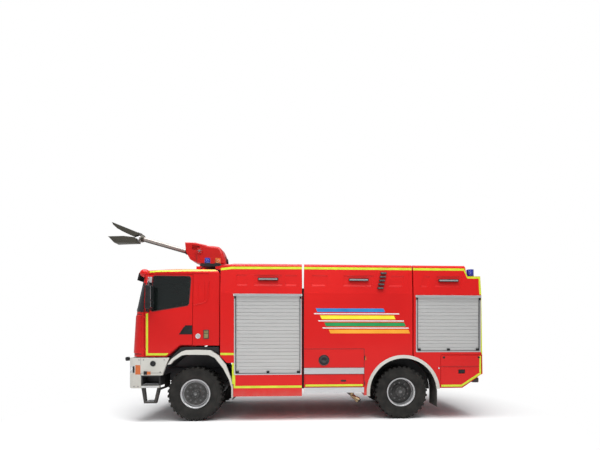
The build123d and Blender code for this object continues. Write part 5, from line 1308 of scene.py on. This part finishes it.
PADS = (("cushion", (FA + 0.255, 2.068), (0.262, 0.235, 0.052), 0, 0.22, (-0.35, 0.35)),
        ("back", (FA - 0.018, 2.385), (0.300, 0.228, 0.050), -79, 0.25, (-0.4, 0.05, 0.5)),
        ("head", (FA - 0.070, 2.780), (0.075, 0.122, 0.036), -84, 0.25, ()))
for place_name, y in (("driver", 0.560), ("mate", -0.560)):
    for part, (x, z), *form in PADS:
        pad = put("seat_%s_%s" % (part, place_name), seat_cloth, "chassis", (add_pad, (x, y, z), *form))
        pad.modifiers.new("smooth", "SUBSURF").render_levels = 1
        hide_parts("seats")
    seat_frame = put("seat_frame_" + place_name, dash_plastic, "chassis",
                     (add_box, (FA + 0.040, y - 0.215, 1.622), (FA + 0.460, y + 0.215, 1.700)),
                     (add_box, (FA + 0.090, y - 0.180, 1.700), (FA + 0.410, y + 0.180, 1.960)),
                     (add_box, (FA + 0.030, y - 0.225, 1.960), (FA + 0.480, y + 0.225, 2.012)),
                     *[(add_rod, (FA - 0.060, y + dy, 2.660), (FA - 0.070, y + dy, 2.740), 0.007, 12)
                       for dy in (-0.05, 0.05)], bevel=0.010)
    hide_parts("seats")
put("dash_displays", gloss_black, "chassis",
    *[(add_box, (FA + 0.855, y - half, 2.108), (FA + 0.885, y + half, 2.205))
      for y, half in ((0.56, 0.20), (0.0, 0.15))], bevel=0.006)
print("seats and displays on")

# %% [markdown]
# ## Seams, gaskets and covers
#
# Where two modules meet, a folded rubber gasket fills the gap, except for its top end. The pump locker has a
# seam round its hatch, the rear flap has one across it, and black sheet lines the rear wheel tunnels.

# %% Gaskets, seams and tunnel sheets
header_paint = new_finish("header_paint", (0.70, 0.70, 0.68), 0.4, coat=0.1,
                          tones=(4.0, (0.66, 0.66, 0.64), (0.72, 0.72, 0.70)))
put_pair("module_gasket", rubber_seal, "chassis",
         *[(add_box, (FA - 2.2380, y, 0.664), (FA - 2.1950, y + 0.010, 2.745))
           for y in (1.125 + i * 0.022 for i in range(4))],
         (add_rod, (FA - 2.2165, 1.206, 0.664), (FA - 2.2165, 1.206, 2.745), 0.015, 14), bevel=0.001)
put_pair("pump_hatch_seams", rubber_seal, "chassis",
         (add_box, (FA - 3.4980, 1.2440, 1.4800), (FA - 2.2380, 1.2494, 1.4890)),
         (add_box, (FA - 3.4980, 1.2440, 0.8000), (FA - 3.4890, 1.2494, 1.4800)))
put_pair("rear_flap_seam", rubber_seal, REAR_FLAPS,
         (add_box, (FA - 6.0050, 1.2495, 1.1100), (FA - 5.1060, 1.2506, 1.1150)))


def add_hinge(bm, z):
    """Hatch hinge: a leaf and its pin."""
    add_box(bm, (FA - 3.5120, 1.2500, z - 0.045), (FA - 3.4960, 1.2580, z + 0.045))
    add_rod(bm, (FA - 3.5040, 1.2580, z - 0.040), (FA - 3.5040, 1.2580, z + 0.040), 0.006, 12)


put_pair("pump_hatch_hinges", black_plastic, "chassis", (add_hinge, 1.300), (add_hinge, 0.760), bevel=0.001)
TUNNEL_X, TUNNEL_Z = FA - 4.325, 0.575


def tunnel_point(degrees, radius):
    angle = math.radians(degrees)
    return TUNNEL_X + radius * math.cos(angle), TUNNEL_Z + radius * math.sin(angle)


tunnel_bolts = [tunnel_point(22 + 34 * i, 0.64) for i in range(5)]
put_pair("tunnel_sheet", black_plastic, "chassis",
         (add_slab, [tunnel_point(turn, 0.708) for turn in range(0, 181, 6)], 0.7603, 0.7635),
         *[(add_cap, (x, 0.7635, z), OUT, 0.014, 0.004, 0.006, 0.010, 16) for x, z in tunnel_bolts])
strip_frames, headers = [], []
for low_x, high_x in ((-1.705, -1.290), (-3.587, -3.169), (-5.510, -5.081)):
    for low_z, high_z in ((2.9410, 2.9550), (2.8990, 2.9130)):
        strip_frames.append((add_box, (FA + low_x, 1.2400, low_z), (FA + high_x, 1.2560, high_z)))
    for x in (low_x, high_x - 0.014):
        strip_frames.append((add_box, (FA + x, 1.2400, 2.9130), (FA + x + 0.014, 1.2560, 2.9410)))
for x_rear, x_front, z_low, z_high in SHUTTER_SPOTS:
    for y, z in ((1.2690, z_high - 0.040), (1.2500, z_high + 0.001)):
        headers.append((add_box, (x_rear - 0.012, y, z), (x_front + 0.012, 1.2712, z_high + 0.004)))
put_pair("strip_light_frames", black_plastic, "chassis", *strip_frames, bevel=0.002)
put_pair("shutter_header_cover", header_paint, "chassis", *headers, bevel=0.001)
print("seams on")

# %% [markdown]
# ## Pressed panels
#
# The leaning upper side has shallow pressed fields. Their edges slope: the lower slope faces up and catches
# light, and the upper slope faces down and stays dark. Two bridges split the front field in three.

# %% Slopes of the pressed panels
REAR_X = REAR_AXLE.x
FIELDS = ((FA - 1.067, FA - 0.866, 0), (FA - 1.784, FA - 1.210, 0), (FA - 2.073, FA - 1.856, 0),
          (FA - 2.672, FA - 2.405, -0.030), (REAR_X + 0.664, REAR_X + 1.238, -0.050),
          (REAR_X + 0.015, REAR_X + 0.281, -0.060), (REAR_X - 0.526, REAR_X - 0.409, -0.072),
          (REAR_X - 1.240, REAR_X - 0.718, -0.050))
FIELD_LOW, FIELD_HIGH, FIELD_DEPTH = 2.785, 3.020, 0.008


def add_bar(bm, section, x_low, x_high):
    """Bar between two values of x. Its section is (depth below the leaning skin, level on it, height)."""
    section = [(skin_at(level) - depth, z) for depth, level, z in section]
    add_prism(bm, [(x_low, y, z) for y, z in section], [(x_high, y, z) for y, z in section])


slopes = []
low, high = FIELD_LOW + 0.001, FIELD_HIGH - 0.001
for x_low, x_high, drift in FIELDS:
    slopes.append((add_bar, [(0.0003, low, low), (FIELD_DEPTH, low + 0.036, low + 0.036),
                             (FIELD_DEPTH + 0.001, low, low)], x_low, x_high))
    slopes.append((add_bar, [(0.0003, high, high), (FIELD_DEPTH + 0.001, high, high),
                             (FIELD_DEPTH, high - 0.024, high - 0.024)], x_low + drift, x_high + drift))
BRIDGE = [(0, FIELD_LOW, FIELD_LOW + 0.0005), (0, FIELD_HIGH, FIELD_HIGH - 0.0005),
          (0.009, FIELD_HIGH, FIELD_HIGH - 0.0005), (0.009, FIELD_LOW, FIELD_LOW + 0.0005)]
slopes += [(add_bar, BRIDGE, FA - 1.210, FA - 1.067), (add_bar, BRIDGE, FA - 1.856, FA - 1.784)]
put_pair("pressed_panel_slopes", red_paint, "chassis", *slopes, bevel=0.001)
print("pressed fields on each side:", len(FIELDS))

# %% [markdown]
# ## Cab form lines
#
# The pressed line under the window runs back over the cab's rear quarter and turns up to the roof. It is a
# half-round bead that follows the skin. Corner panels with rounded edges wrap the nose beside the grille, and
# black covers wrap the windscreen pillars.

# %% Cab beads
BEAD = [(60, 2372), (-20, 2398), (-120, 2422), (-190, 2440), (-238, 2470), (-268, 2520), (-280, 2590),
        (-286, 2700), (-290, 2820), (-292, 2930)]


def add_bead(bm, line, radius, lift, parts):
    """Bead on the cab's side along a line in millimetres, with some points between each two."""
    points = [(a[0] + (b[0] - a[0]) * k / parts, a[1] + (b[1] - a[1]) * k / parts)
              for a, b in zip(line, line[1:]) for k in range(parts)]
    spots = [side_spot(px, pz, "cab_shell", lift) for px, pz in points]
    add_pipe(bm, [spot for spot in spots if spot is not None], radius, 8)


put_pair("cab_side_bead", red_paint, "chassis", (add_bead, BEAD, 0.008, 0.001, 3))
put_pair("cab_quarter_ribs", red_paint, "chassis",
         *[(add_bead, [(px, 2480), (px, 2960)], 0.006, 0.0005, 6) for px in (-70, -195)])
print("cab beads on")

# %% Corner panels and pillar covers
NOSE_Y = 1.060


def nose_skin(share, z, lift, front_y):
    """Point on the cab's rounded nose corner: 0 is on the side, 1 is on the front."""
    angle = math.radians(90 * max(share, 0))
    x = FA + 1.060 + (0.060 if share > 0 else 0.500) * share
    y = NOSE_Y + (front_y - NOSE_Y) * max(share, 0)
    return on_skin((x, y, z), (-math.sin(angle), -math.cos(angle), 0), "cab_shell", lift)


def screen_edge(z):
    """Half width of the windscreen opening at a height, with a little to spare."""
    return SCREEN_LOW + (SCREEN_HIGH - SCREEN_LOW) * (z - SCREEN_FOOT) / (SCREEN_TOP - SCREEN_FOOT) + 0.004


def wrap(bm, levels, shares, lift, edge_lift=0.0, by_screen=False):
    """Skin round the nose corner, which dips to another lift at its border."""
    rows = []
    for z in levels:
        front_y = screen_edge(z) if by_screen else NOSE_Y
        row = []
        for share in shares:
            border = z in (levels[0], levels[-1]) or share in (shares[0], shares[-1])
            row.append(bm.verts.new(nose_skin(share, z, edge_lift if border else lift, front_y)))
        rows.append(row)
    for low, high in zip(rows, rows[1:]):
        for j in range(len(low) - 1):
            bm.faces.new((low[j], low[j + 1], high[j + 1], high[j]))


put_pair("nose_corner_panel", red_paint, "chassis",
         (wrap, [1.395, 1.41, 1.44, 1.55, 1.66, 1.78, 1.90, 2.02, 2.10, 2.145, 2.17, 2.185],
          [0.0, 0.04, 0.12, 0.25, 0.4, 0.55, 0.7, 0.85, 0.93, 1.0], 0.016))
put_pair("corner_panel_slits", rubber_seal, "chassis",
         *[(wrap, [level, level + 0.011], [k / 12 for k in range(13)], 0.003, 0.003)
           for level in (1.380, 2.190)])
put_pair("pillar_wrap", gloss_black, "chassis",
         (wrap, [2.250, 2.262, 2.38, 2.50, 2.62, 2.74, 2.830, 2.842],
          [-0.095, -0.05] + [k / 14 for k in range(15)], 0.004, 0.002, True))
print("nose panels and pillar covers on")

# %% [markdown]
# ## Monitor seams
#
# A dark seam with three clips runs down each cheek of the turret, where its side panel ends. A worn steel
# collar sits on the yoke behind the blades, and small braces stand under the bracket.

# %% Monitor seams and muzzle collar
MUZZLE_COLLAR = [(0, 0.0665), (0.004, 0.072), (0.016, 0.072), (0.020, 0.068), (0.040, 0.068), (0.044, 0.072),
                 (0.056, 0.072), (0.060, 0.0665)]
put_pair("turret_edge_seam", rubber_seal, "turret",
         (add_rod, (FA + 0.2075, 0.2560, 3.436), (FA + 0.2045, 0.2560, 3.610), 0.006, 10),
         *[(add_box, (FA + 0.2030, 0.2520, z - 0.008), (FA + 0.2130, 0.2610, z + 0.008))
           for z in (3.470, 3.530, 3.590)])
collar_spots = [along_barrel(1.126, y, rise) for y, rise in circle(0, 0, 0.072, 6)]
put("muzzle_collar", blade_metal, "head", (add_turned, MUZZLE_COLLAR, along_barrel(1.110), ALONG, 36),
    *[(add_rod, spot, spot + ALONG * 0.028, 0.009, 8) for spot in collar_spots])
braces = []
for side in (1, -1):
    braces.append((add_pipe, [(FA + 0.200, 0.26 * side, 3.245), (FA + 0.330, 0.30 * side, 3.150)], 0.012, 10))
    braces.append((add_box, (FA + 0.290, 0.30 * side - 0.030, 3.136),
                   (FA + 0.370, 0.30 * side + 0.030, 3.146)))
put("bracket_braces", black_paint, "chassis", *braces)
print("monitor seams on")
